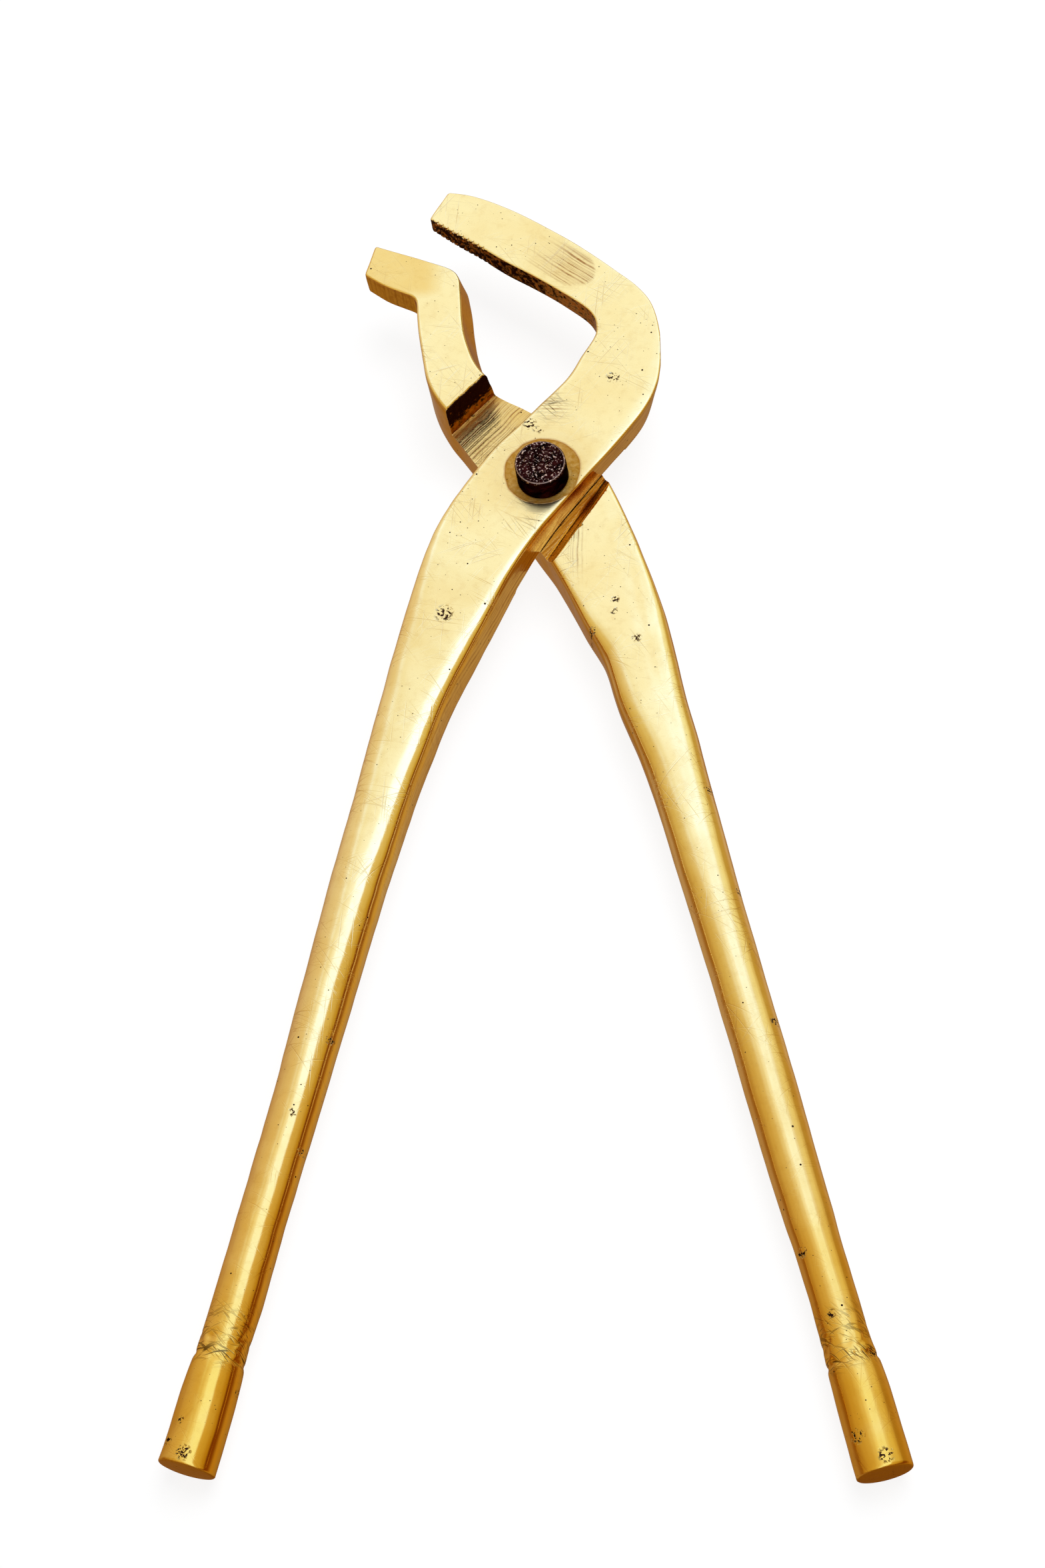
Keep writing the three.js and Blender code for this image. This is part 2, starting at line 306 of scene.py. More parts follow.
class Graph:
    """A node tree with short calls for the nodes that the finishes use."""

    def __init__(self, tree: bpy.types.NodeTree) -> None:
        """Start with an empty tree."""
        self.tree = tree
        tree.nodes.clear()

    def node(self, kind: str, **settings: object) -> bpy.types.Node:
        """Add a node and set its options.

        Args:
            kind: The node's type.
            settings: Options and their values.

        Returns:
            The new node.
        """
        made = self.tree.nodes.new(kind)
        for key, value in settings.items():
            setattr(made, key, value)
        return made

    def feed(self, socket: Socket, value: Feed) -> None:
        """Link a socket to another, or set it to a constant.

        Args:
            socket: The input.
            value: What it takes.
        """
        if isinstance(value, bpy.types.NodeSocket):
            self.tree.links.new(value, socket)
        else:
            socket.default_value = value

    def math(self, operation: str, a: Feed, b: Feed = 0.0, clamp: bool = False) -> Socket:
        """One Math node on two values.

        Args:
            operation: The node's operation.
            a: First value.
            b: Second value.
            clamp: Hold the result in 0 to 1.

        Returns:
            The result.
        """
        made = self.node("ShaderNodeMath", operation=operation, use_clamp=clamp)
        self.feed(made.inputs[0], a)
        self.feed(made.inputs[1], b)
        return made.outputs[0]

    def spread(self, value: Socket, low: float, high: float, to: tuple[float, float] = (0, 1)) -> Socket:
        """Map low..high to the range `to`, held at both ends.

        Args:
            value: What is mapped.
            low: Start of its range.
            high: End of its range.
            to: The new range.

        Returns:
            The mapped value.
        """
        made = self.node("ShaderNodeMapRange", clamp=True)
        for socket, number in zip(made.inputs[:5], (value, low, high, *to)):
            self.feed(socket, number)
        return made.outputs[0]

    def mix(self, share: Feed, first: Feed, second: Feed, blend: str = "MIX") -> Socket:
        """Mix two colours by a share.

        Args:
            share: 0 for the first, 1 for the second.
            first: A colour.
            second: A colour.
            blend: How they are mixed.

        Returns:
            The mixed colour.
        """
        made = self.node("ShaderNodeMix", data_type="RGBA", blend_type=blend, clamp_factor=True)
        self.feed(made.inputs[0], share)
        self.feed(made.inputs[6], first)
        self.feed(made.inputs[7], second)
        return made.outputs[2]

    def attribute(self, name: str) -> Socket:
        """A number painted on the vertices."""
        return self.node("ShaderNodeAttribute", attribute_name=name).outputs["Fac"]

    def place(self) -> Socket:
        """Object coordinates, in metres."""
        return self.node("ShaderNodeTexCoord").outputs["Object"]

    def turned(self, vector: Socket, degrees: Sequence[float], scale: Sequence[float]) -> Socket:
        """Turn a pattern's coordinates, then stretch them.

        Args:
            vector: The coordinates.
            degrees: Turns about X, Y and Z.
            scale: Stretch along each.

        Returns:
            The new coordinates.
        """
        turn = self.node("ShaderNodeMapping", vector_type="POINT")
        self.feed(turn.inputs["Vector"], vector)
        turn.inputs["Rotation"].default_value = [math.radians(d) for d in degrees]
        stretch = self.node("ShaderNodeMapping", vector_type="POINT")
        self.feed(stretch.inputs["Vector"], turn.outputs[0])
        stretch.inputs["Scale"].default_value = scale
        return stretch.outputs[0]

    def noise(self, vector: Socket, scale: float, detail: float = 3.0, rough: float = 0.55) -> Socket:
        """Cloudy noise.

        Args:
            vector: The coordinates.
            scale: Clouds a metre.
            detail: How many finer layers.
            rough: Share of each finer layer.

        Returns:
            A value from 0 to 1.
        """
        made = self.node("ShaderNodeTexNoise")
        self.feed(made.inputs["Vector"], vector)
        made.inputs["Scale"].default_value = scale
        made.inputs["Detail"].default_value = detail
        made.inputs["Roughness"].default_value = rough
        return made.outputs[0]

    def line_noise(self, value: Socket, scale: float, detail: float = 3.0) -> Socket:
        """Noise along one number, so that it draws stripes.

        Args:
            value: The number.
            scale: Stripes a unit.
            detail: How many finer layers.

        Returns:
            A value from 0 to 1.
        """
        made = self.node("ShaderNodeTexNoise", noise_dimensions="1D")
        self.feed(made.inputs["W"], value)
        made.inputs["Scale"].default_value = scale
        made.inputs["Detail"].default_value = detail
        return made.outputs[0]

    def cells(self, vector: Socket, scale: float) -> tuple[Socket, Socket]:
        """Scattered points.

        Args:
            vector: The coordinates.
            scale: Points a metre.

        Returns:
            Distance to the nearest point, and its random colour.
        """
        made = self.node("ShaderNodeTexVoronoi")
        self.feed(made.inputs["Vector"], vector)
        made.inputs["Scale"].default_value = scale
        return made.outputs["Distance"], made.outputs["Color"]

    def bump(self, height: Socket, depth: float, strength: float, under: Socket | None = None) -> Socket:
        """A Bump node over another normal.

        Args:
            height: The height, 0 to 1.
            depth: What a height of 1 is, metres.
            strength: Share of the bump.
            under: The normal below, if any.

        Returns:
            The bumped normal.
        """
        made = self.node("ShaderNodeBump")
        made.inputs["Strength"].default_value = strength
        made.inputs["Distance"].default_value = depth
        self.feed(made.inputs["Height"], height)
        if under is not None:
            self.feed(made.inputs["Normal"], under)
        return made.outputs[0]


def rgba(colour: Colour) -> tuple[float, float, float, float]:
    """A colour with full alpha."""
    return (*colour, 1.0)


def new_material(name: str) -> tuple[bpy.types.Material, Graph, bpy.types.Node]:
    """An empty node material with a Principled surface.

    Args:
        name: The material's name.

    Returns:
        The material, its graph and the Principled node.
    """
    material = bpy.data.materials.new(name)
    material.use_nodes = True
    graph = Graph(material.node_tree)
    surface = graph.node("ShaderNodeBsdfPrincipled")
    output = graph.node("ShaderNodeOutputMaterial")
    graph.feed(output.inputs["Surface"], surface.outputs[0])
    return material, graph, surface


@dataclass(frozen=True)
class PolishedBrass:
    """Old polished brass: pale on the flats, amber in the hand, scratched and pitted, with painted shade in
    its dull, brown and soot marks.
    """

    pale: Colour = (0.93, 0.735, 0.36)
    amber: Colour = (0.78, 0.455, 0.070)
    # The dull, rust brown and soot colours also paint shade: in the rear lever's lap, on the side faces and
    # under their top edges.
    dull_and_shade: Colour = (0.50, 0.215, 0.006)
    line_brown: Colour = (0.27, 0.075, 0.005)
    rust_brown_and_shade: Colour = (0.33, 0.085, 0.008)
    soot_and_shade: Colour = (0.030, 0.011, 0.007)
    polish: float = 0.065
    scratch_degrees: tuple[float, ...] = (12.0, 57.0, 96.0, 131.0, 164.0, 33.0)
    blow_degrees: tuple[float, ...] = (22.0, -12.0, 48.0)

    def scratches(self, graph: Graph, place: Socket) -> Socket:
        """Thin lines in several directions: stretched noise, only its peaks kept.

        Args:
            graph: The material's graph.
            place: Object coordinates.

        Returns:
            1 on a scratch, 0 between.
        """
        total: Feed = 0.0
        for degrees in self.scratch_degrees:
            stretched = graph.turned(place, (6.0, 4.0, degrees), (38.0, 3100.0, 120.0))
            line = graph.spread(graph.noise(stretched, 1.0, 1.0), 0.655, 0.74)
            total = graph.math("MAXIMUM", total, line)
        patch = graph.spread(graph.noise(place, 95.0, 2.0), 0.44, 0.62, (0.08, 1.0))
        worn = graph.spread(graph.attribute("warm"), 0.1, 0.8, (0.8, 0.4))
        return graph.math("MULTIPLY", graph.math("MULTIPLY", total, patch), worn)

    def blows(self, graph: Graph, place: Socket) -> Socket:
        """Short, coarse hammer and vice marks where "struck" is painted.

        Args:
            graph: The material's graph.
            place: Object coordinates.

        Returns:
            1 on a mark, 0 between.
        """
        total: Feed = 0.0
        for degrees in self.blow_degrees:
            stretched = graph.turned(place, (25.0, 10.0, degrees), (170.0, 2300.0, 300.0))
            line = graph.spread(graph.noise(stretched, 1.0, 1.0), 0.60, 0.68)
            total = graph.math("MAXIMUM", total, line)
        return graph.math("MULTIPLY", total, graph.attribute("struck"))

    def pits(self, graph: Graph, place: Socket) -> Socket:
        """Casting pits: a few scattered everywhere, and crowds of them in clusters.

        Args:
            graph: The material's graph.
            place: Object coordinates.

        Returns:
            1 in a pit, 0 outside.
        """
        near, colour = graph.cells(place, 480.0)
        lone = graph.math("LESS_THAN", near, graph.spread(colour, 0.45, 1.0, (0.0, 0.13)))
        pin, tint = graph.cells(place, 1150.0)
        pinhole = graph.math("LESS_THAN", pin, graph.spread(tint, 0.60, 1.0, (0.0, 0.20)))
        lone = graph.math("MAXIMUM", lone, graph.math("MULTIPLY", pinhole, 0.75))
        crowd = graph.noise(place, 1500.0, 2.5, 0.6)
        cluster = graph.attribute("pitted")
        depth = graph.math("MULTIPLY", cluster, graph.spread(crowd, 0.50, 0.57))
        return graph.math("MAXIMUM", lone, graph.spread(depth, 0.25, 0.6))

    def files(self, graph: Graph, place: Socket) -> Socket:
        """File marks: stripes across the painted filing coordinate, in millimetres.

        Args:
            graph: The material's graph.
            place: Object coordinates.

        Returns:
            1 on a file mark, 0 between.
        """
        wander = graph.spread(graph.noise(place, 75.0, 2.0), 0.2, 0.8, (-0.5, 0.5))
        across = graph.math("ADD", graph.attribute("file_across"), wander)
        coarse = graph.line_noise(across, 1.9, 4.0)
        broken = graph.spread(graph.noise(place, 210.0, 3.0, 0.6), 0.32, 0.62, (0.25, 1.0))
        line = graph.math("MULTIPLY", graph.spread(coarse, 0.46, 0.64), broken)
        return graph.math("MULTIPLY", line, graph.attribute("filed"))

    def seat_ring(self, graph: Graph, place: Socket) -> tuple[Socket, Socket]:
        """The dull seat round the rivet, from the distance to its centre in plan.

        Args:
            graph: The material's graph.
            place: Object coordinates.

        Returns:
            1 on the seat, and 1 on the thin dark line round it.
        """
        wobble = graph.spread(graph.noise(place, 160.0, 2.0), 0.3, 0.7, (-0.00025, 0.00025))
        flat = graph.node("ShaderNodeVectorMath", operation="MULTIPLY")
        graph.feed(flat.inputs[0], place)
        flat.inputs[1].default_value = (1.0, 1.0, 0.0)
        span = graph.node("ShaderNodeVectorMath", operation="DISTANCE")
        graph.feed(span.inputs[0], flat.outputs[0])
        span.inputs[1].default_value = (SEAT_CENTRE[0] * MM, SEAT_CENTRE[1] * MM, 0.0)
        away = graph.math("ADD", span.outputs["Value"], wobble)
        radius = SEAT_RADIUS * MM
        zone = graph.attribute("seat")
        inside = graph.math("MULTIPLY", zone, graph.spread(away, radius + 0.00012, radius - 0.00012))
        off = graph.math("ABSOLUTE", graph.math("SUBTRACT", away, radius))
        line = graph.math("MULTIPLY", zone, graph.spread(off, 0.0004, 0.00008))
        return inside, line

    def colour(self, graph: Graph, place: Socket, marks: dict[str, Socket]) -> Socket:
        """Pale to amber along the tool, clouded, then dulled, browned and darkened, by real wear and soot
        and by painted shade.

        Args:
            graph: The material's graph.
            place: Object coordinates.
            marks: The masks, by name.

        Returns:
            The base colour.
        """
        cloud = graph.spread(graph.noise(place, 55.0, 4.0), 0.3, 0.7, (-0.16, 0.16))
        warmth = graph.math("ADD", graph.attribute("warm"), cloud, clamp=True)
        base = graph.mix(warmth, rgba(self.pale), rgba(self.amber))
        fine = graph.spread(graph.noise(place, 520.0, 5.0, 0.7), 0.50, 0.74, (0.0, 0.16))
        base = graph.mix(fine, base, rgba(self.dull_and_shade))
        base = graph.mix(marks["dull_and_shade"], base, rgba(self.dull_and_shade))
        base = graph.mix(marks["brown"], base, rgba(self.rust_brown_and_shade))
        line = graph.math("MULTIPLY", marks["filed"], 0.85)
        base = graph.mix(line, base, rgba(self.line_brown))
        base = graph.mix(graph.math("MULTIPLY", marks["struck"], 0.8), base, rgba(self.soot_and_shade))
        scored = graph.math("MULTIPLY", marks["scratch"], 0.30)
        base = graph.mix(scored, base, rgba(self.line_brown))
        return graph.mix(marks["dark"], base, rgba(self.soot_and_shade))

    def material(self) -> bpy.types.Material:
        """Build the node material.

        Returns:
            A metal surface whose colour, roughness and bump vary over the piece.
        """
        material, graph, surface = new_material("polished_brass")
        place = graph.place()
        grain = graph.noise(place, 900.0, 4.0, 0.6)
        pit = self.pits(graph, place)
        # The soot mask is real soot on the hook's grip and painted shade on the rear lever's shoulder wall
        # and lap corner.
        speck = graph.math("ADD", graph.attribute("soot_and_shade"), graph.spread(grain, 0.25, 0.75, (-0.42, 0.42)))
        stain = graph.spread(speck, 0.42, 0.72)
        seat, seat_line = self.seat_ring(graph, place)
        # The dull and brown masks also hold painted shade: in the lap, on the side faces and as a dark line
        # under the top edges.
        dull_and_shade = graph.math("MAXIMUM", graph.attribute("dull_and_shade"), graph.math("MULTIPLY", seat, 0.92))
        brown = graph.math("MAXIMUM", graph.attribute("brown"), graph.math("MULTIPLY", seat_line, 0.5))
        marks = {
            "dull_and_shade": graph.math("MULTIPLY", dull_and_shade, graph.spread(grain, 0.3, 0.62, (0.75, 1.0))),
            "brown": graph.math("MULTIPLY", brown, graph.spread(grain, 0.62, 0.34, (0.55, 1.0))),
            "filed": self.files(graph, place),
            "scratch": self.scratches(graph, place),
            "struck": self.blows(graph, place),
            "dark": graph.math("MAXIMUM", pit, stain),
        }
        base = self.colour(graph, place, marks)
        graph.feed(surface.inputs["Base Color"], base)
        graph.feed(surface.inputs["Specular Tint"], graph.mix(0.6, rgba((1.0, 1.0, 1.0)), base))
        surface.inputs["Metallic"].default_value = 1.0
        haze = graph.spread(graph.noise(place, 130.0, 4.0), 0.3, 0.75, (self.polish, self.polish + 0.07))
        worn = graph.math("MULTIPLY_ADD", marks["dull_and_shade"], 0.42)
        self.add_third(graph, worn, haze)
        rough = graph.math("MULTIPLY_ADD", marks["dark"], 0.35)
        self.add_third(graph, rough, worn)
        round_seat = graph.math("MULTIPLY_ADD", graph.attribute("seat"), 0.16)
        self.add_third(graph, round_seat, rough)
        graph.feed(surface.inputs["Roughness"], round_seat)
        lines = graph.math("MULTIPLY_ADD", marks["struck"], 2.0)
        self.add_third(graph, lines, graph.math("ADD", marks["scratch"], marks["filed"]))
        scored = graph.bump(lines, -0.00007, 0.45)
        pitted = graph.bump(pit, -0.00022, 0.8, scored)
        pebble = graph.math("MULTIPLY", grain, graph.math("MAXIMUM", marks["dull_and_shade"], graph.attribute("soot_and_shade")))
        graph.feed(surface.inputs["Normal"], graph.bump(pebble, 0.0002, 0.55, pitted))
        return material

    @staticmethod
    def add_third(graph: Graph, product: Socket, term: Socket) -> None:
        """Feed the term that a multiply-add node adds."""
        graph.feed(product.node.inputs[2], term)


@dataclass(frozen=True)
class BurntIron:
    """Dark brown-black iron with a pitted, glinting hammered top."""

    scale: Colour = (0.005, 0.0018, 0.0015)
    bare: Colour = (0.90, 0.60, 0.46)
    rust: Colour = (0.045, 0.008, 0.007)

    def material(self) -> bpy.types.Material:
        """Build the node material.

        Returns:
            Iron scale, rusty in clouds and bare metal where "worn" is painted.
        """
        material, graph, surface = new_material("burnt_iron")
        place = graph.place()
        cloud = graph.spread(graph.noise(place, 420.0, 5.0, 0.62), 0.40, 0.66)
        base = graph.mix(cloud, rgba(self.scale), rgba(self.rust))
        fleck = graph.noise(place, 1900.0, 4.0, 0.7)
        worn = graph.attribute("worn")
        glint = graph.math("MULTIPLY", worn, graph.spread(fleck, 0.57, 0.61))
        rim = graph.spread(worn, 0.75, 0.95, (0.0, 0.30))
        bare = graph.math("MAXIMUM", glint, rim)
        base = graph.mix(bare, base, rgba(self.bare))
        graph.feed(surface.inputs["Base Color"], base)
        graph.feed(surface.inputs["Specular Tint"], base)
        surface.inputs["Metallic"].default_value = 1.0
        graph.feed(surface.inputs["Roughness"], graph.spread(fleck, 0.35, 0.65, (0.55, 0.24)))
        coarse = graph.bump(cloud, 0.0003, 0.6)
        graph.feed(surface.inputs["Normal"], graph.bump(fleck, 0.00016, 0.9, coarse))
        return material


# --- the levers -------------------------------------------------------------------
@dataclass(frozen=True)
class Mark:
    """A cluster of pits: its place and reach in plan, millimetres."""

    x: float
    y: float
    reach: float


@dataclass
class Lever:
    """One cast lever: a loft through flat stations, then round handle stations.

    A flat station is (ax, ay, bx, by, top, bottom, power, aTop, aBottom): the right
    edge a, the left edge b, heights, the roundness power of the section, and how far
    the right edge stands in at the top and at the bottom. A round station is
    (x, y, width, thickness, z of the centre, power).
    """

    name: str
    node: str
    body: Body
    flats: Sequence[Sequence[float]]
    handle: Sequence[Sequence[float]]
    clusters: Sequence[Mark]
    seed: int
    waist: int
    around: int = 104
    rings: int = 820
    ripple_height: float = 0.035
    tip_ease: float = 0.4
    butt_rise: float = 0.5

    def stations(self) -> Array:
        """All stations in the nine-number form of a flat one.

        Returns:
            Rows of nine; a round station's edges lie square to the line through
            its neighbours.
        """
        flats = np.array(self.flats, float)
        rounds = np.array(self.handle, float)
        middle = (flats[-1, 0:2] + flats[-1, 2:4]) / 2.0
        before = np.vstack([middle, rounds[:-1, :2]])
        after = np.vstack([rounds[1:, :2], rounds[-1, :2]])
        run = after - before
        run /= np.linalg.norm(run, axis=1, keepdims=True)
        side = np.stack([-run[:, 1], run[:, 0]], axis=-1) * rounds[:, 2:3] / 2.0
        half = rounds[:, 3] / 2.0
        rows = np.zeros((len(rounds), 9))
        rows[:, 0:2] = rounds[:, :2] + side
        rows[:, 2:4] = rounds[:, :2] - side
        rows[:, 4] = rounds[:, 4] + half
        rows[:, 5] = rounds[:, 4] - half
        rows[:, 6] = rounds[:, 5]
        return np.vstack([flats, rows])

    def ring_places(self, rows: Array) -> Array:
        """Where the rings lie: closer near the jaw's tip and the lap than on the handle.

        Args:
            rows: The stations.

        Returns:
            Places along the stations, spaced so that density times length is even.
        """
        fine = np.linspace(0.0, len(rows) - 1.0, 4000)
        line = catmull_rom(rows, fine)
        middle = (line[:, 0:2] + line[:, 2:4]) / 2.0
        step = np.linalg.norm(np.diff(middle, axis=0), axis=1)
        along = np.concatenate([[0.0], np.cumsum(step)])
        density = np.interp(
            along,
            [0.0, 19.0, 22.0, 125.0, 150.0, along[-1] - 34.0, along[-1] - 30.0, along[-1]],
            [6.5, 6.5, 2.6, 2.4, 1.3, 1.3, 3.0, 2.0],
        )
        total = np.concatenate([[0.0], np.cumsum(step * (density[1:] + density[:-1]) / 2.0)])
        start = np.interp(self.tip_ease, along, total)
        return np.interp(np.linspace(start, total[-1], self.rings), total, fine)

    def section(self, power: Array) -> tuple[Array, Array]:
        """A rounded box in -1..1: the polar form of |u|^p + |v|^p = 1.

        The angles crowd at the corners, where the outline turns. Flat stations
        get a higher power than the CAD solid, for crisper edges on the same box.

        Args:
            power: One roundness power a ring.

        Returns:
            u to the right and v up, rings by around.
        """
        even = (np.arange(self.around) + 0.5) * 2.0 * math.pi / self.around
        angle = even + 0.19 * np.sin(4.0 * even)
        crisp = (power + 2.1 * np.maximum(power - 4.0, 0.0))[:, None]
        cos, sin = np.cos(angle), np.sin(angle)
        radius = (np.abs(cos) ** crisp + np.abs(sin) ** crisp) ** (-1.0 / crisp)
        return radius * cos, radius * sin

    def lofted(self) -> tuple[Array, Array, Array]:
        """The loft: rings of the section between the two edges of each station.

        Returns:
            Points (rings by around by 3), the section's u and v, end caps included.
        """
        rows = self.stations()
        body = self.ring_places(rows)
        shrink_tip = np.array([0.02, 0.35, 0.7, 0.92, 0.965])
        push_tip = np.array([0.0, 0.0, 0.0, 0.0, 0.12])
        shrink_butt = np.array([0.985, 0.955, 0.91, 0.8, 0.55, 0.25, 0.02])
        push_butt = np.array([0.14, 0.27, 0.34, 0.39, 0.45, 0.49, 0.5]) * (self.butt_rise / 0.5)
        last = np.full(len(shrink_butt), len(rows) - 1.0)
        place = np.concatenate([np.zeros(len(shrink_tip)), body, last])
        shrink = np.concatenate([shrink_tip, np.ones(len(body)), shrink_butt])[:, None]
        row = catmull_rom(rows, place)
        u, v = self.section(row[:, 6])
        across = row[:, 0:2] - row[:, 2:4]
        width = np.linalg.norm(across, axis=1, keepdims=True)
        across = across / width
        up = (v + 1.0) / 2.0
        inset = row[:, 7:8] * up + row[:, 8:9] * (1.0 - up)
        along = (width - inset) * (0.5 + u * shrink / 2.0)
        grid = np.empty((*u.shape, 3))
        grid[..., :2] = row[:, None, 2:4] + across[:, None, :] * along[..., None]
        half = (row[:, 4:5] - row[:, 5:6]) / 2.0
        grid[..., 2] = (row[:, 4:5] + row[:, 5:6]) / 2.0 + half * v * shrink
        forward = np.stack([-across[:, 1], across[:, 0]], axis=-1)
        heading = (catmull_rom(rows, np.array([0.05]))[0] - rows[0])[:2]
        if forward[0] @ heading < 0.0:
            forward = -forward
        push = np.concatenate([push_tip, np.zeros(len(body)), push_butt])[:, None, None]
        grid[..., :2] += forward[:, None, :] * push
        return grid, u, v

    def relief(self, grid: Array, u: Array, v: Array) -> Array:
        """Crease the handle's waist.

        Each ring is pulled to its centre by two bell curves of the distance along the
        handle, deeper where a ripple says so.

        Args:
            grid: Points, rings by around by 3, in millimetres.
            u: The section's place across, -1 to 1; not used here.
            v: The section's place up, -1 to 1; not used here.

        Returns:
            The creased grid.
        """
        centre = grid.mean(axis=1, keepdims=True)
        along = self.past_waist(grid.reshape(-1, 3)).reshape(grid.shape[:2])
        dents = ripple(grid.reshape(-1, 3), 3.0, self.seed + 9).reshape(grid.shape[:2])
        pull = (0.050 + 0.014 * dents) * bump_at(along, -0.3, 0.7)
        pull += 0.022 * np.maximum(dents, 0.0) * bump_at(along, -3.5, 3.0)
        return centre + (grid - centre) * (1.0 - pull[..., None])

    def uneven(self, grid: Array) -> Array:
        """Hand-dressed unevenness: slide each point along its normal by a ripple.

        Args:
            grid: Points, rings by around by 3, in millimetres.

        Returns:
            The uneven grid.
        """
        round_way = np.roll(grid, -1, axis=1) - np.roll(grid, 1, axis=1)
        long_way = np.gradient(grid, axis=0)
        normal = np.cross(round_way, long_way)
        normal /= np.maximum(np.linalg.norm(normal, axis=-1, keepdims=True), 1e-9)
        flat = grid.reshape(-1, 3)
        height = ripple(flat, 17.0, self.seed) + 0.35 * ripple(flat, 6.0, self.seed + 1)
        lift = (height * self.ripple_height - 0.02).reshape(*grid.shape[:2], 1)
        return grid + normal * lift

    def seat(self, grid: Array) -> Array:
        """Sink the front face round the rivet by the seat's depth.

        Args:
            grid: Points, rings by around by 3, in millimetres.

        Returns:
            The same grid, sunk.
        """
        x, y = SEAT_CENTRE
        away = np.hypot(grid[..., 0] - x, grid[..., 1] - y)
        on_top = smooth_step(grid[..., 2], FACE_Z - 1.5, FACE_Z - 0.6)
        grid[..., 2] -= SEAT_DEPTH * smooth_step(away, SEAT_RADIUS + 0.5, SEAT_RADIUS - 0.6) * on_top
        return grid

    def cut(self, piece: bpy.types.Object) -> None:
        """Cut the bore; a lever with a lap cuts that too."""
        bore = closed_tube("bore", cylinder_grid(BORE_RADIUS, -20.0, 50.0, 96))
        subtract(piece, bore)

    def marks(self, points: Array, normals: Array) -> dict[str, Array]:
        """The painted masks of the plain lever.

        Args:
            points: The piece's vertices, millimetres.
            normals: Their normals.

        Returns:
            warm, dull, brown, soot, pitted, filed, file_across, struck and seat, one
            number a vertex; the subclasses add painted shade to dull, brown, soot and warm.
        """
        x, y = points.T[:2]
        warm = 0.06 + 0.5 * smooth_step(y, -85.0, -160.0) + 0.44 * smooth_step(y, -150.0, -200.0)
        pitted = np.zeros(len(points))
        for mark in self.clusters:
            away = np.hypot(x - mark.x, y - mark.y) / mark.reach
            pitted = np.maximum(pitted, np.exp(-(away**2)))
        under = smooth_step(normals[:, 2], -0.1, -0.8)
        butt = self.butt_face(points, normals)
        return {
            "warm": np.maximum(warm, 0.5 * under),
            "dull_and_shade": np.maximum(0.8 * butt, 0.35 * under),
            "brown": 0.25 * butt,
            "soot_and_shade": np.zeros(len(points)),
            "pitted": pitted,
            "filed": np.zeros(len(points)),
            "file_across": np.zeros(len(points)),
            "struck": self.waist_blows(points),
            "seat": np.zeros(len(points)),
        }

    def waist_blows(self, points: Array) -> Array:
        """Marks across the waist: a bell curve of the distance along the handle from it."""
        along = self.past_waist(points)
        return np.maximum(bump_at(along, -0.8, 2.0), 0.6 * bump_at(along, -6.0, 4.5))

    def past_waist(self, points: Array) -> Array:
        """Measure along the handle from the waist, towards the end.

        Args:
            points: The piece's vertices, millimetres.

        Returns:
            One distance a point, millimetres.
        """
        waist = np.array(self.handle[self.waist][:2])
        run = waist - np.array(self.handle[self.waist - 1][:2])
        return (points[:, :2] - waist) @ (run / np.linalg.norm(run))

    def butt_face(self, points: Array, normals: Array) -> Array:
        """The handle's end face: near the last station and facing along the handle.

        Args:
            points: The piece's vertices, millimetres.
            normals: Their normals.

        Returns:
            1 on the face, 0 off it.
        """
        end = np.array(self.handle[-1][:2])
        run = end - np.array(self.handle[-2][:2])
        run /= np.linalg.norm(run)
        facing = normals[:, :2] @ run
        near = (points[:, :2] - end) @ run
        return smooth_step(facing, 0.6, 0.9) * smooth_step(near, -0.6, 0.0)

    def build(self, finish: bpy.types.Material) -> bpy.types.Object:
        """Loft, dress, cut and paint the lever.

        Args:
            finish: The brass.

        Returns:
            The finished piece, riding on its body.
        """
        grid, u, v = self.lofted()
        grid = self.seat(self.uneven(self.relief(grid, u, v)))
        grid = keep_inside(grid, self.node)
        piece = closed_tube(self.name, grid)
        self.cut(piece)
        smooth_shade(piece, 38.0)
        for name, values in self.marks(points_of(piece), normals_of(piece)).items():
            paint(piece, name, values)
        piece.data.materials.clear()
        piece.data.materials.append(finish)
        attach(piece, self.body.value)
        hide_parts(self.node)
        return piece


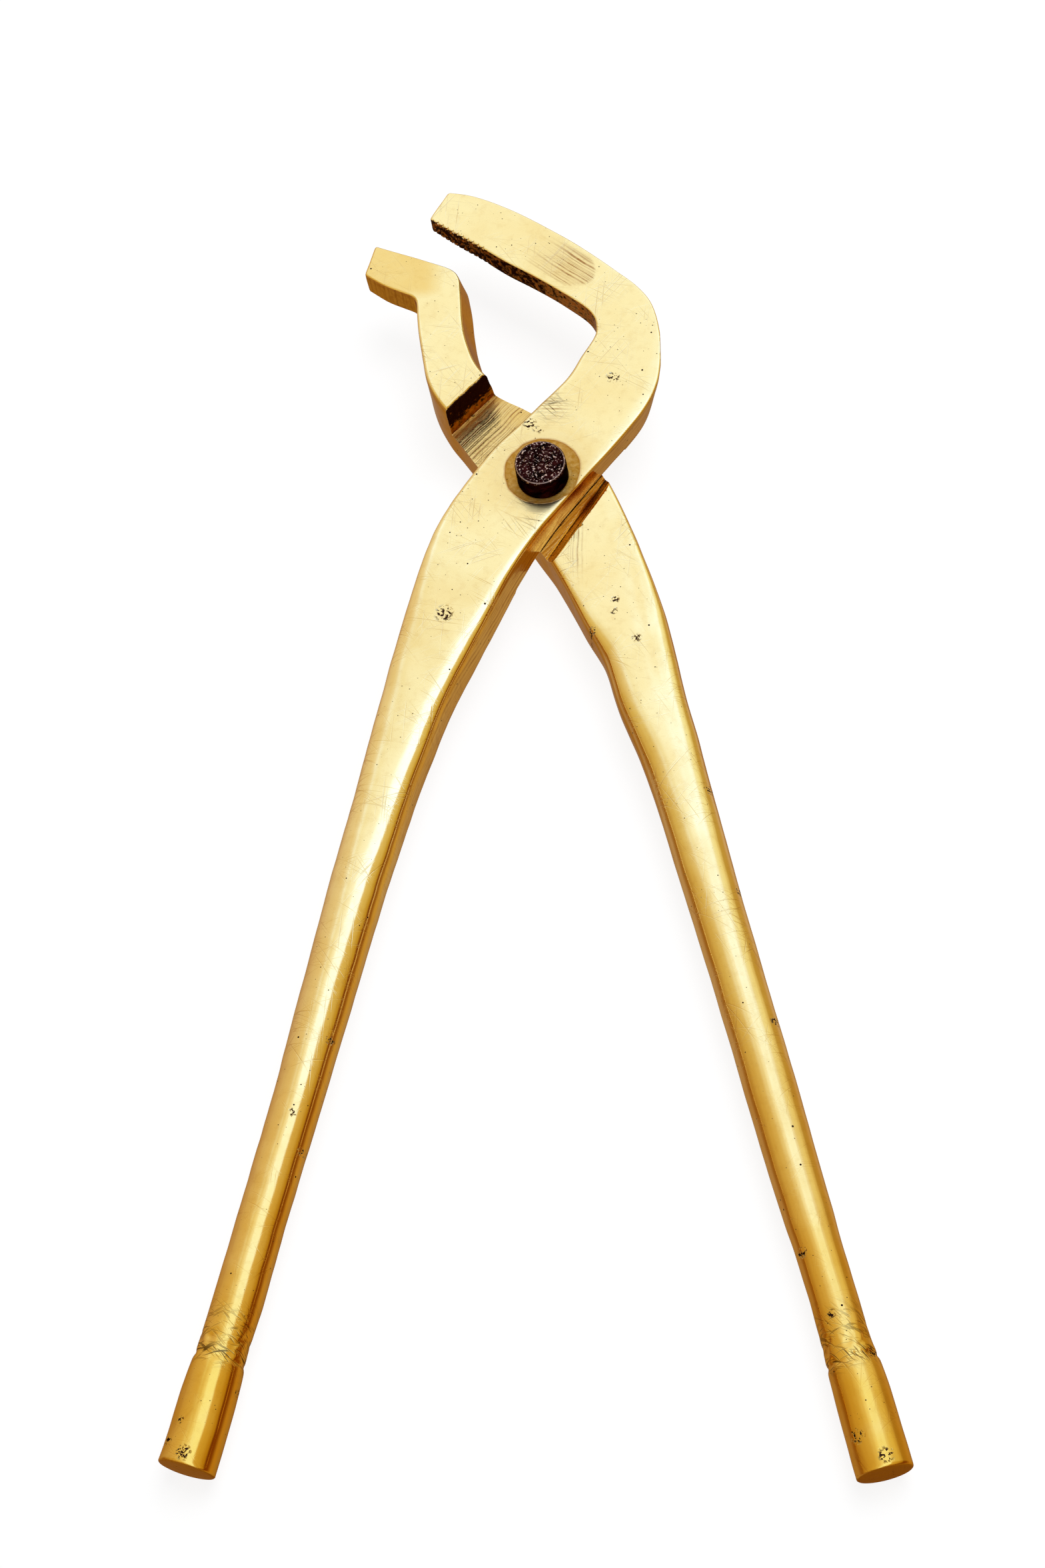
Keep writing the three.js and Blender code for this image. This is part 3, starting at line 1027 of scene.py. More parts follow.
FRONT_FLATS = (
    (-22.6, 81.1, -27.0, 73.5, 22.6, 18.0, 7, 0, 0),
    (-16.6, 79.5, -21.9, 69.6, 22.6, 17.3, 8, 0, 0),
    (-8.5, 75.3, -15.2, 64.6, 22.6, 16.9, 8, 0, 0.2),
    (-2.0, 71.0, -8.9, 59.7, 22.6, 16.7, 8, 0, 0.3),
    (4.3, 66.3, -2.5, 55.2, 22.6, 16.6, 8, 0, 0.5),
    (10.7, 61.1, 3.7, 50.4, 22.6, 16.5, 8, 0, 0.8),
    (16.9, 55.5, 9.0, 46.0, 22.6, 16.2, 8, 0, 1.2),
    (21.7, 50.8, 11.3, 43.2, 22.6, 15.6, 8, 0, 1.6),
    (25.1, 45.6, 12.1, 40.5, 22.6, 14.6, 8, 0, 2.0),
    (26.8, 38.7, 11.7, 37.4, 22.6, 13.2, 8, 0, 2.3),
    (27.2, 31.1, 8.8, 32.4, 22.6, 12.1, 8, 0, 2.6),
    (26.2, 23.3, 5.9, 27.1, 22.6, 11.3, 8, 0, 2.6),
    (23.0, 16.2, 1.4, 22.0, 22.6, 11.0, 8, 0, 2.6),
    (16.0, 6.9, -5.2, 15.2, 22.6, 11.0, 8, 0, 2.8),
    (10.0, -0.2, -11.3, 9.0, 22.6, 11.0, 8, 0, 2.3),
    (4.0, -7.6, -16.4, 1.9, 22.6, 11.0, 8, 0, 1.8),
    (-1.9, -15.2, -21.2, -5.6, 22.6, 11.0, 8, 0, 0.9),
    (-7.4, -24.2, -25.8, -14.6, 22.4, 10.6, 6, 0, 0.3),
    (-13.9, -37.4, -30.8, -29.7, 21.2, 9.0, 4.6, 0.2, 0.2),
)
REAR_FLATS = (
    (-39.7, 66.9, -42.1, 58.7, 22.6, 16.0, 7, 0, 0),
    (-34.2, 64.7, -37.6, 55.4, 22.6, 15.8, 8, 0.1, 0),
    (-27.4, 62.0, -33.8, 53.3, 22.6, 15.6, 8, 0.3, 0),
    (-21.3, 59.5, -30.9, 51.8, 22.6, 15.2, 8, 0.8, 0),
    (-18.9, 57.1, -29.9, 50.5, 22.6, 14.6, 8, 1.2, 0),
    (-18.0, 53.6, -29.6, 48.8, 22.6, 14.0, 8, 1.6, 0),
    (-17.4, 49.7, -29.5, 46.4, 22.6, 13.3, 8, 1.9, 0),
    (-17.0, 45.0, -29.2, 42.6, 22.6, 12.3, 8, 2.0, 0),
    (-16.4, 40.8, -28.6, 38.2, 22.6, 11.1, 8, 2.0, 0),
    (-15.3, 36.8, -27.9, 33.4, 22.6, 9.5, 8, 2.0, 0),
    (-14.0, 33.3, -27.2, 29.2, 22.6, 7.5, 8, 2.0, 0),
    (-11.8, 30.5, -25.8, 25.1, 22.6, 5.2, 8, 2.4, 0),
    (-8.5, 28.5, -23.6, 21.2, 22.6, 3.2, 8, 3.2, 0),
    (-4.4, 26.0, -20.7, 17.2, 22.6, 2.3, 8, 3.0, 0),
    (-0.1, 22.4, -17.3, 12.0, 22.0, 2.2, 8, 2.0, 0),
    (5.6, 16.8, -12.2, 4.4, 20.0, 2.2, 8, 1.0, 0),
    (10.1, 10.9, -7.7, -3.1, 17.8, 2.2, 8, 0.6, 0),
    (13.7, 4.1, -3.4, -10.6, 16.4, 2.2, 8, 0.4, 0),
    (17.6, -5.0, 0.9, -17.8, 16.0, 2.2, 7, 0.3, 0),
    (21.1, -14.7, 4.5, -25.2, 15.9, 2.3, 6, 0.2, 0),
    (24.1, -24.2, 7.9, -32.8, 15.8, 2.6, 5, 0, 0),
    (26.9, -34.2, 12.0, -41.5, 15.7, 3.0, 4, 0, 0),
)
FRONT_ROUNDS = (
    (-28.3, -48.9, 15.2, 12.5, 13.4, 4.1),
    (-32, -60.6, 14, 12.2, 12.5, 3.5),
    (-35.4, -72.2, 13, 12, 11.7, 3.0),
    (-38.6, -83.8, 12.5, 11.8, 11.1, 2.6),
    (-41.7, -95, 12.2, 11.7, 10.6, 2.3),
    (-47.3, -117.7, 11.7, 11.5, 9.7, 2),
    (-52.7, -139.7, 10.7, 10.7, 8.9, 2),
    (-58.3, -161.2, 10.4, 10.4, 8.1, 2),
    (-63.7, -182.1, 10.4, 10.4, 7.3, 2),
    (-66.5, -192.3, 10.2, 10.2, 6.9, 2),
    (-67.5, -196, 10.8, 10.8, 6.7, 2),
    (-69.2, -202.2, 11.7, 11.7, 6.3, 2),
    (-71.8, -212.4, 11.9, 11.9, 6, 2),
    (-73.2, -217.4, 12, 12, 6, 2),
)
REAR_ROUNDS = (
    (22.7, -51.9, 15, 12.4, 9.5, 3.3),
    (26.3, -63.8, 13.5, 12.2, 9.1, 2.7),
    (29.4, -76, 12.5, 12, 8.8, 2.4),
    (32.4, -88, 12.1, 11.8, 8.5, 2.2),
    (35.2, -99.7, 11.6, 11.6, 8.3, 2.1),
    (40.8, -122.4, 11.1, 11.1, 7.8, 2),
    (46.1, -144.4, 11, 11, 7.3, 2),
    (51.3, -165.7, 10.4, 10.4, 6.9, 2),
    (54, -176.1, 9.8, 9.8, 6.8, 2),
    (56.6, -186.4, 9.7, 9.7, 6.6, 2),
    (58.9, -196.4, 10, 10, 6.4, 2),
    (59.9, -200.2, 10.6, 10.6, 6.2, 2),
    (61.5, -206.4, 11.3, 11.3, 5.9, 2),
    (63.8, -216.2, 11.5, 11.5, 5.8, 2),
    (65.1, -221.7, 11.6, 11.6, 5.8, 2),
)
# Clusters of casting pits: x, y and reach in plan.
FRONT_PITS = (
    (-22.1, -33.0, 2.0), (16.0, 25.6, 1.5), (-3.1, 14.4, 1.5), (-5.0, 16.2, 1.0),
    (-72.8, -215.6, 1.6), (-1.0, 12.6, 0.9), (-45.9, -129.6, 0.8), (-51.3, -153.3, 0.8),
    (-53.0, -145.6, 0.9), (-62.9, -202.8, 0.9), (-76.4, -212.7, 0.9), (-73.9, -208.9, 0.8),
)
REAR_PITS = (
    (15.3, -28.7, 0.9), (15.1, -31.6, 0.8), (20.0, -38.6, 1.0), (10.1, -35.8, 0.9),
    (47.1, -128.6, 0.9), (65.5, -219.6, 1.6), (60.3, -215.7, 1.3), (50.8, -178.2, 1.0),
    (56.1, -191.2, 0.9), (64.1, -198.7, 1.0), (40.5, -98.8, 0.8), (34.8, -75.2, 1.0),
)


@dataclass
class FrontLever(Lever):
    """The hooked lever, which crosses in front and has the toothed hook."""

    tooth_run: float = 17.5
    tooth_pitch: float = 1.5
    tooth_depth: float = 0.34
    bevel_fall: float = 0.035
    step_normal_deg: float = 47.0
    step_distance: float = 21.6
    step_start: float = -22.0
    hook_heading: float = math.radians(-38.0)
    crotch_place: tuple[float, float] = (2.0, 18.5)
    file_place: tuple[float, float] = (3.0, 58.5)

    def relief(self, grid: Array, u: Array, v: Array) -> Array:
        """Cross-hatched teeth on the hook's gripping side, then the bevel and the lap.

        The hatch is the higher of two slanting triangle waves, one a way, cut in from
        the gripping edge.

        Args:
            grid: Points, rings by around by 3, in millimetres.
            u: The section's place across, -1 to 1.
            v: The section's place up, -1 to 1.

        Returns:
            The dressed grid.
        """
        tip = np.array(self.flats[0][2:4])
        far = np.array(self.flats[3][2:4])
        run = (far - tip) / np.linalg.norm(far - tip)
        inward = np.array([-run[1], run[0]])
        along = (grid[..., :2] - tip) @ run
        depth = grid[..., 2] * 1.3
        rising = np.abs(((along + depth) / self.tooth_pitch) % 1.0 - 0.5) * 2.0
        falling = np.abs(((along - depth) / self.tooth_pitch) % 1.0 - 0.5) * 2.0
        groove = np.maximum(smooth_step(rising, 0.55, 1.0), smooth_step(falling, 0.55, 1.0))
        side = smooth_step(-u, 0.86, 0.97) * (grid[..., 1] > 40.0)
        reach = smooth_step(along, 0.5, 1.2) * smooth_step(along, self.tooth_run, self.tooth_run - 1.5)
        grid[..., :2] += inward * (self.tooth_depth * groove * side * reach)[..., None]
        return self.lap(self.bevel(super().relief(grid, u, v), v))

    def bevel(self, grid: Array, v: Array) -> Array:
        """A narrow bevel inside the bend's outer edge, faded out at both ends.

        The face falls in a straight line from the bevel's width to the edge.

        Args:
            grid: Points, rings by around by 3, in millimetres.
            v: The section's place up, -1 to 1.

        Returns:
            The bevelled grid.
        """
        edge = grid[:, :1, :2]
        from_edge = np.linalg.norm(grid[..., :2] - edge, axis=-1)
        y = edge[..., 1]
        width = 2.0 + 0.9 * smooth_step(y, 20.0, 45.0)
        fade = smooth_step(y, -14.0, 2.0) * smooth_step(y, 56.0, 46.0)
        grid[..., 2] -= self.bevel_fall * np.maximum(width - from_edge, 0.0) * fade * (v > 0.3)
        return grid

    def lap(self, grid: Array) -> Array:
        """Raise the back to the lap's height between its two steps.

        Args:
            grid: Points, rings by around by 3, in millimetres.

        Returns:
            The raised grid.
        """
        turn = math.radians(self.step_normal_deg)
        along = grid[..., 0] * math.cos(turn) + grid[..., 1] * math.sin(turn)
        inside = smooth_step(along, self.step_distance, self.step_distance - 0.5)
        inside *= smooth_step(along, self.step_start, self.step_start + 0.5)
        floor = LAP_TOP + LAP_GAP + 0.05
        lifted = np.maximum(grid[..., 2], floor)
        grid[..., 2] += (lifted - grid[..., 2]) * inside
        return grid

    def marks(self, points: Array, normals: Array) -> dict[str, Array]:
        """The plain masks, and the hook's burnt grip, the seat and the file marks, and painted shade on the
        side faces and just under their top edge.

        Args:
            points: The piece's vertices, millimetres.
            normals: Their normals.

        Returns:
            The same masks as the plain lever's.
        """
        made = super().marks(points, normals)
        x, y, z = points.T
        grip_way = normals[:, 0] * -0.56 + normals[:, 1] * -0.83
        grip = smooth_step(grip_way, 0.45, 0.8) * smooth_step(y, 39.0, 42.0)
        tip = np.array(self.flats[0][2:4])
        from_tip = np.hypot(x - tip[0], y - tip[1])
        burnt = smooth_step(from_tip, 42.0, 26.0)
        made["soot_and_shade"] = grip * (0.46 + 0.22 * burnt)
        raise_to(made, "brown", grip * 0.95)
        away = np.hypot(x - SEAT_CENTRE[0], y - SEAT_CENTRE[1])
        top = smooth_step(normals[:, 2], 0.7, 0.9)
        made["seat"] = smooth_step(away, SEAT_RADIUS + 3.0, SEAT_RADIUS + 2.0) * top
        haze = smooth_step(away, 19.0, 8.0) * top
        raise_to(made, "dull_and_shade", 0.10 * haze)
        raise_to(made, "warm", 0.30 * haze)
        # The side faces are painted warmer than the top: painted shade. The file marks on them are real.
        side = smooth_step(np.abs(normals[:, 2]), 0.5, 0.2) * smooth_step(y, -110.0, -60.0)
        raise_to(made, "warm", 0.42 * side)
        crotch_x, crotch_y = self.crotch_place
        crotch = np.exp(-(((x - crotch_x) / 3.2) ** 2) - ((y - crotch_y) / 3.4) ** 2) * top
        right = x - self.file_place[0]
        ahead = y - self.file_place[1]
        lengthwise = right * math.cos(self.hook_heading) + ahead * math.sin(self.hook_heading)
        crosswise = ahead * math.cos(self.hook_heading) - right * math.sin(self.hook_heading)
        arc = 10.0 - 0.18 * (crosswise - 0.9) ** 2
        hook = smooth_step(lengthwise, arc + 0.4, arc - 0.4) * smooth_step(lengthwise, -9.0, 3.0)
        hook *= smooth_step(np.abs(crosswise - 0.9), 5.2, 4.0) * top
        raise_to(made, "dull_and_shade", 0.22 * hook)
        made["filed"] = np.maximum.reduce([crotch, hook, 0.5 * side])
        # A painted dark line on the side faces just under the top edge: painted shade, in brown.
        under_edge = side * bump_at(z, FACE_Z - 1.2, 0.6)
        raise_to(made, "brown", 0.35 * under_edge)
        slope = np.where(y > 40.0, self.hook_heading + math.pi / 2.0, math.radians(86.0))
        across = x * np.cos(slope) + y * np.sin(slope) + 0.05 * lengthwise * (y > 40.0)
        made["file_across"] = np.where(side > 0.5, 0.6 * z + 0.04 * y, across)
        raise_to(made, "struck", 0.75 * crotch)
        return made


@dataclass
class RearLever(Lever):
    """The lever with the short cranked jaw, cut away where the front one laps it."""

    shoulder_normal_deg: float = -44.0
    shoulder_distance: float = -29.6
    shoulder_chamfer: float = 0.4
    ramp_normal_deg: float = -33.0
    ramp_foot: float = 7.7
    ramp_run: float = 4.6
    ramp_rise: float = 4.1
    beyond_slope: float = 1.2
    file_depth: float = 0.03
    fillet_height: float = 0.3
    fillet_fade: float = 0.28
    pock_depth: float = 0.07
    cutter_top: float = 34.0
    cutter_reach: float = 62.0
    cutter_half: float = 36.0
    ridge: Sequence[tuple[float, float]] = (
        (-61.9, 27.9), (-47.2, 23.4), (-29.3, 19.8), (-17.2, 18.0), (-6.0, 15.1), (0.0, 12.6)
    )
    ridge_depth: float = 0.10

    def relief(self, grid: Array, u: Array, v: Array) -> Array:
        """A soft crease down the face, faded at both ends.

        Its depth is a bell curve of the distance from the line through its (y, x) places.

        Args:
            grid: Points, rings by around by 3, in millimetres.
            u: The section's place across, -1 to 1.
            v: The section's place up, -1 to 1.

        Returns:
            The creased grid.
        """
        grid = super().relief(grid, u, v)
        y_ridge, x_ridge = np.array(self.ridge).T
        right = grid[..., 0] - np.interp(grid[..., 1], y_ridge, x_ridge)
        fade = smooth_step(grid[..., 1], -64.0, -48.0) * smooth_step(grid[..., 1], -1.0, -8.0)
        grid[..., 2] -= self.ridge_depth * bump_at(right, 0.3, 1.1) * fade * (v > 0.3)
        return grid

    def ramp(self, x: Array, y: Array) -> Array:
        """Height of the recess floor: level, then up a hollow ramp.

        The ramp eases up by w squared times (3 - 2 w), with w its share of the run;
        past it the cut slants up out of the lever.

        Args:
            x: Places to the right.
            y: Places towards the jaws.

        Returns:
            Heights, millimetres.
        """
        turn = math.radians(self.ramp_normal_deg)
        past = x * math.cos(turn) + y * math.sin(turn) - self.ramp_foot
        curve = smooth_step(past, 0.0, self.ramp_run)
        beyond = np.maximum(past - self.ramp_run, 0.0)
        return LAP_TOP + self.ramp_rise * curve + self.beyond_slope * beyond

    def recess(self) -> bpy.types.Object:
        """The cutter of the lap.

        A closed profile (wall, floor, far side) is carried along the shoulder, its floor
        raised by the ramp and scored by the file.

        Returns:
            The cutter, a closed piece.
        """
        turn = math.radians(self.shoulder_normal_deg)
        out = np.array([math.cos(turn), math.sin(turn)])
        along = np.array([-out[1], out[0]])
        top = self.cutter_top
        reach = self.cutter_reach
        edge = self.shoulder_chamfer
        wall_z = np.linspace(FACE_Z - edge, LAP_TOP + 0.5, 22)
        floor_a = np.concatenate([np.linspace(0.06, 0.5, 4), np.arange(0.75, reach, 0.24)])
        a = np.concatenate([[-2.4, -edge - 0.6], np.zeros(len(wall_z)), floor_a, [reach]])
        z = np.concatenate([[top, FACE_Z + 0.6], wall_z, np.full(len(floor_a), LAP_TOP), [top]])
        b = np.arange(self.cutter_half, -self.cutter_half, -0.4)
        origin = out * self.shoulder_distance
        x = origin[0] + a[None, :] * out[0] + b[:, None] * along[0]
        y = origin[1] + a[None, :] * out[1] + b[:, None] * along[1]
        height = np.broadcast_to(z, x.shape).copy()
        first = 2 + len(wall_z)
        last = first + len(floor_a)
        floor = self.ramp(x[:, first:last], y[:, first:last])
        score = np.stack([a[first:last], np.zeros(len(floor_a)), np.zeros(len(floor_a))], axis=-1)
        stripes = ripple(score, 1.3, self.seed + 5) + ripple(score, 0.7, self.seed + 6)
        fade = smooth_step(floor, LAP_TOP + 3.0, LAP_TOP + 0.1)
        floor -= self.file_depth * (0.5 * np.tanh(stripes)[None, :] + 0.6) * fade
        height[:, first:last] = np.minimum(floor, top)
        fillet = np.exp(-a[first:last] / self.fillet_fade) * self.fillet_height
        height[:, first:last] += fillet[None, :]
        along_wall, up_wall = np.meshgrid(b, wall_z, indexing="ij")
        spots = np.stack([along_wall, up_wall, np.zeros_like(up_wall)], axis=-1).reshape(-1, 3)
        pocks = ripple(spots, 2.2, self.seed + 7).reshape(len(b), -1)
        x[:, 2:first] += out[0] * self.pock_depth * pocks
        y[:, 2:first] += out[1] * self.pock_depth * pocks
        return closed_tube("recess", np.stack([x, y, height], axis=-1))

    def cut(self, piece: bpy.types.Object) -> None:
        """Cut the bore, then the lap."""
        super().cut(piece)
        subtract(piece, self.recess())

    def marks(self, points: Array, normals: Array) -> dict[str, Array]:
        """The plain masks, the filed floor and jaw, and painted shade: on the shoulder wall, in the lap's
        corner, on the floor near the wall, on the ramp and its pocket, on the side faces and under their top
        edges.

        Args:
            points: The piece's vertices, millimetres.
            normals: Their normals.

        Returns:
            The same masks as the plain lever's.
        """
        made = super().marks(points, normals)
        x, y, z = points.T
        turn = math.radians(self.shoulder_normal_deg)
        from_wall = x * math.cos(turn) + y * math.sin(turn) - self.shoulder_distance
        ramp_turn = math.radians(self.ramp_normal_deg)
        past = x * math.cos(ramp_turn) + y * math.sin(ramp_turn)
        facing = normals[:, 0] * math.cos(turn) + normals[:, 1] * math.sin(turn)
        on_wall = smooth_step(np.abs(from_wall), 1.2, 0.6)
        wall = smooth_step(facing, 0.5, 0.8) * on_wall * (z > LAP_TOP - 1.0)
        level = (z < LAP_TOP + 0.45) & (z > LAP_TOP - 0.4)
        in_lap = (from_wall > -0.2) & level & (past < self.ramp_foot)
        floor = in_lap * smooth_step(normals[:, 2], 0.5, 0.8)
        # The ramp and the hollow pocket on it, under the front lever's edge, are painted brown and amber
        # below: painted shade.
        ramp = smooth_step(past, self.ramp_foot - 0.8, self.ramp_foot + 0.4)
        upper = self.ramp_foot + 0.8 * self.ramp_run
        ramp *= smooth_step(past, upper, self.ramp_foot + 0.3 * self.ramp_run)
        ramp *= (z > LAP_TOP - 0.6) * smooth_step(normals[:, 2], 0.2, 0.4)
        # The floor is painted darker and browner towards the shoulder wall: painted shade.
        edge = floor * smooth_step(from_wall, 5.5, 0.0)
        low_wall = smooth_step(z, LAP_TOP + 6.5, LAP_TOP + 1.0)
        pocket = ramp * np.exp(-(((x - 10.8) / 4.0) ** 2) - ((y + 1.8) / 4.0) ** 2)
        corner = 0.5 * floor * smooth_step(from_wall, 0.8, 0.0)
        # Painted shade: the shoulder wall is painted near black, darker at its top, and the corner at its
        # foot is darkened.
        made["soot_and_shade"] = np.maximum(wall * (1.0 - 0.6 * low_wall), corner)
        # Painted shade: brown on the ramp, the pocket, the wall and the floor near the wall; dull and warm
        # on the pocket and the floor near the wall. The floor's own dullness and warmth are its filed
        # finish.
        raise_to(made, "brown", 0.15 * ramp, 0.9 * pocket, 0.9 * wall, 0.28 * edge)
        raise_to(made, "dull_and_shade", 0.30 * floor, 0.85 * edge, 0.6 * pocket)
        raise_to(made, "warm", 0.45 * floor, 0.3 * ramp, pocket)
        jaw = smooth_step(x, -22.0, -28.0) * smooth_step(y, 50.0, 54.0)
        raise_to(made, "warm", 0.62 * jaw)
        # The side faces are painted warmer and browner than the top: painted shade. The jaw's underside is
        # its own filed brown.
        side = smooth_step(np.abs(normals[:, 2]), 0.5, 0.2) * smooth_step(y, -110.0, -60.0)
        jaw_under = smooth_step(-normals[:, 1], 0.6, 0.9) * (y > 45.0)
        raise_to(made, "brown", 0.3 * side, 0.55 * jaw_under)
        raise_to(made, "warm", side)
        grooves = np.exp(-(((x - 6.6) / 1.6) ** 2) - ((y + 14.0) / 6.5) ** 2) * (normals[:, 2] > 0.6)
        # A painted dark line on the side faces just under the top edge: painted shade, in brown.
        under_edge = side * bump_at(z, FACE_Z - 1.0, 0.5) * (y > 28.0)
        raise_to(made, "brown", 0.6 * under_edge)
        deep_filed = floor * (0.6 + 0.4 * smooth_step(from_wall, 12.0, 3.0))
        made["filed"] = np.maximum.reduce([deep_filed, grooves, jaw_under * 0.5])
        made["file_across"] = np.where(in_lap | (np.abs(from_wall) < 1.0), from_wall, x)
        return made


# --- the rivet ---------------------------------------------------------------------
@dataclass
class PivotRivet:
    """The iron rivet: a set tail, a shank through both levers and a proud round head."""

    name: str = "rivet"
    node: str = "pivot_rivet"
    shank: float = 4.5
    head: float = 5.8
    tail: float = 6.1
    head_seat: float = 22.8
    head_top: float = 28.6
    tail_top: float = 2.0
    edge: float = 0.45
    pock_depth: float = 0.16
    around: int = 160

    def profile(self) -> tuple[Array, Array]:
        """The rivet's outline from the tail's centre to the head's.

        Straight stretches, with quarter circles of the edge radius at the tail and on
        the head.

        Returns:
            Radius and height along the outline.
        """
        quarter = np.linspace(0.0, math.pi / 2.0, 7)
        e = self.edge
        rows = [
            (np.linspace(0.15, self.tail - e, 10), np.zeros(10)),
            (self.tail - e + e * np.sin(quarter), e - e * np.cos(quarter)),
            (np.full(3, self.tail), np.linspace(e + 0.3, self.tail_top, 3)),
            (np.full(12, self.shank), np.linspace(self.tail_top, self.head_seat, 12)),
            (np.full(26, self.head), np.linspace(self.head_seat, self.head_top - e, 26)),
            (self.head - e + e * np.cos(quarter[1:]), self.head_top - e + e * np.sin(quarter[1:])),
            (np.linspace(self.head - e - 0.15, 0.12, 34), np.full(34, self.head_top)),
        ]
        return np.concatenate([r for r, _ in rows]), np.concatenate([z for _, z in rows])

    def grid(self) -> Array:
        """Turn the profile round the axis, then pock it.

        The top sinks by two ripples cut off at zero, and the side wavers a little.

        Returns:
            Points, rings by around by 3.
        """
        radius, height = self.profile()
        turn = np.linspace(0.0, 2.0 * math.pi, self.around, endpoint=False)
        x = radius[:, None] * np.cos(turn)
        y = radius[:, None] * np.sin(turn)
        z = np.broadcast_to(height[:, None], x.shape)
        grid = np.stack([x, y, z], axis=-1)
        flat = grid.reshape(-1, 3)
        pocks = np.maximum(ripple(flat, 2.2, 41) + 0.7 * ripple(flat, 0.9, 42), -0.4) + 0.4
        pocks = pocks.reshape(x.shape)
        on_top = (height[:, None] > self.head_top - 0.01) * smooth_step(radius[:, None], 5.35, 4.9)
        grid[..., 2] -= self.pock_depth * np.minimum(pocks, 2.0) * on_top
        waver = ripple(flat, 3.5, 43).reshape(x.shape)
        on_side = (height[:, None] > self.head_seat) * (radius[:, None] > 5.0)
        slim = 1.0 - on_side * (0.008 + 0.006 * np.clip(waver, -1.0, 1.0))
        grid[..., :2] *= slim[..., None]
        return grid

    def build(self, finish: bpy.types.Material) -> bpy.types.Object:
        """Make the rivet and paint its worn rim and top.

        Args:
            finish: The iron.

        Returns:
            The finished piece, riding with the rear lever.
        """
        piece = closed_tube(self.name, keep_inside(self.grid(), self.node))
        smooth_shade(piece, 40.0)
        x, y, z = points_of(piece).T
        radius = np.hypot(x, y)
        high = smooth_step(z, self.head_top - 0.7, self.head_top - 0.2)
        rim = bump_at(radius, self.head - self.edge * 0.75, 0.30) * high
        top = smooth_step(z, self.head_top - 0.6, self.head_top - 0.1)
        paint(piece, "worn", np.maximum(rim, 0.7 * top))
        piece.data.materials.append(finish)
        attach(piece, Body.REAR.value)
        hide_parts(self.node)
        return piece


# --- the studio --------------------------------------------------------------------
@dataclass(frozen=True)
class SkyBand:
    """One stop of the light tent: degrees rolled from straight up towards +X, and light."""

    degrees: float
    light: Colour


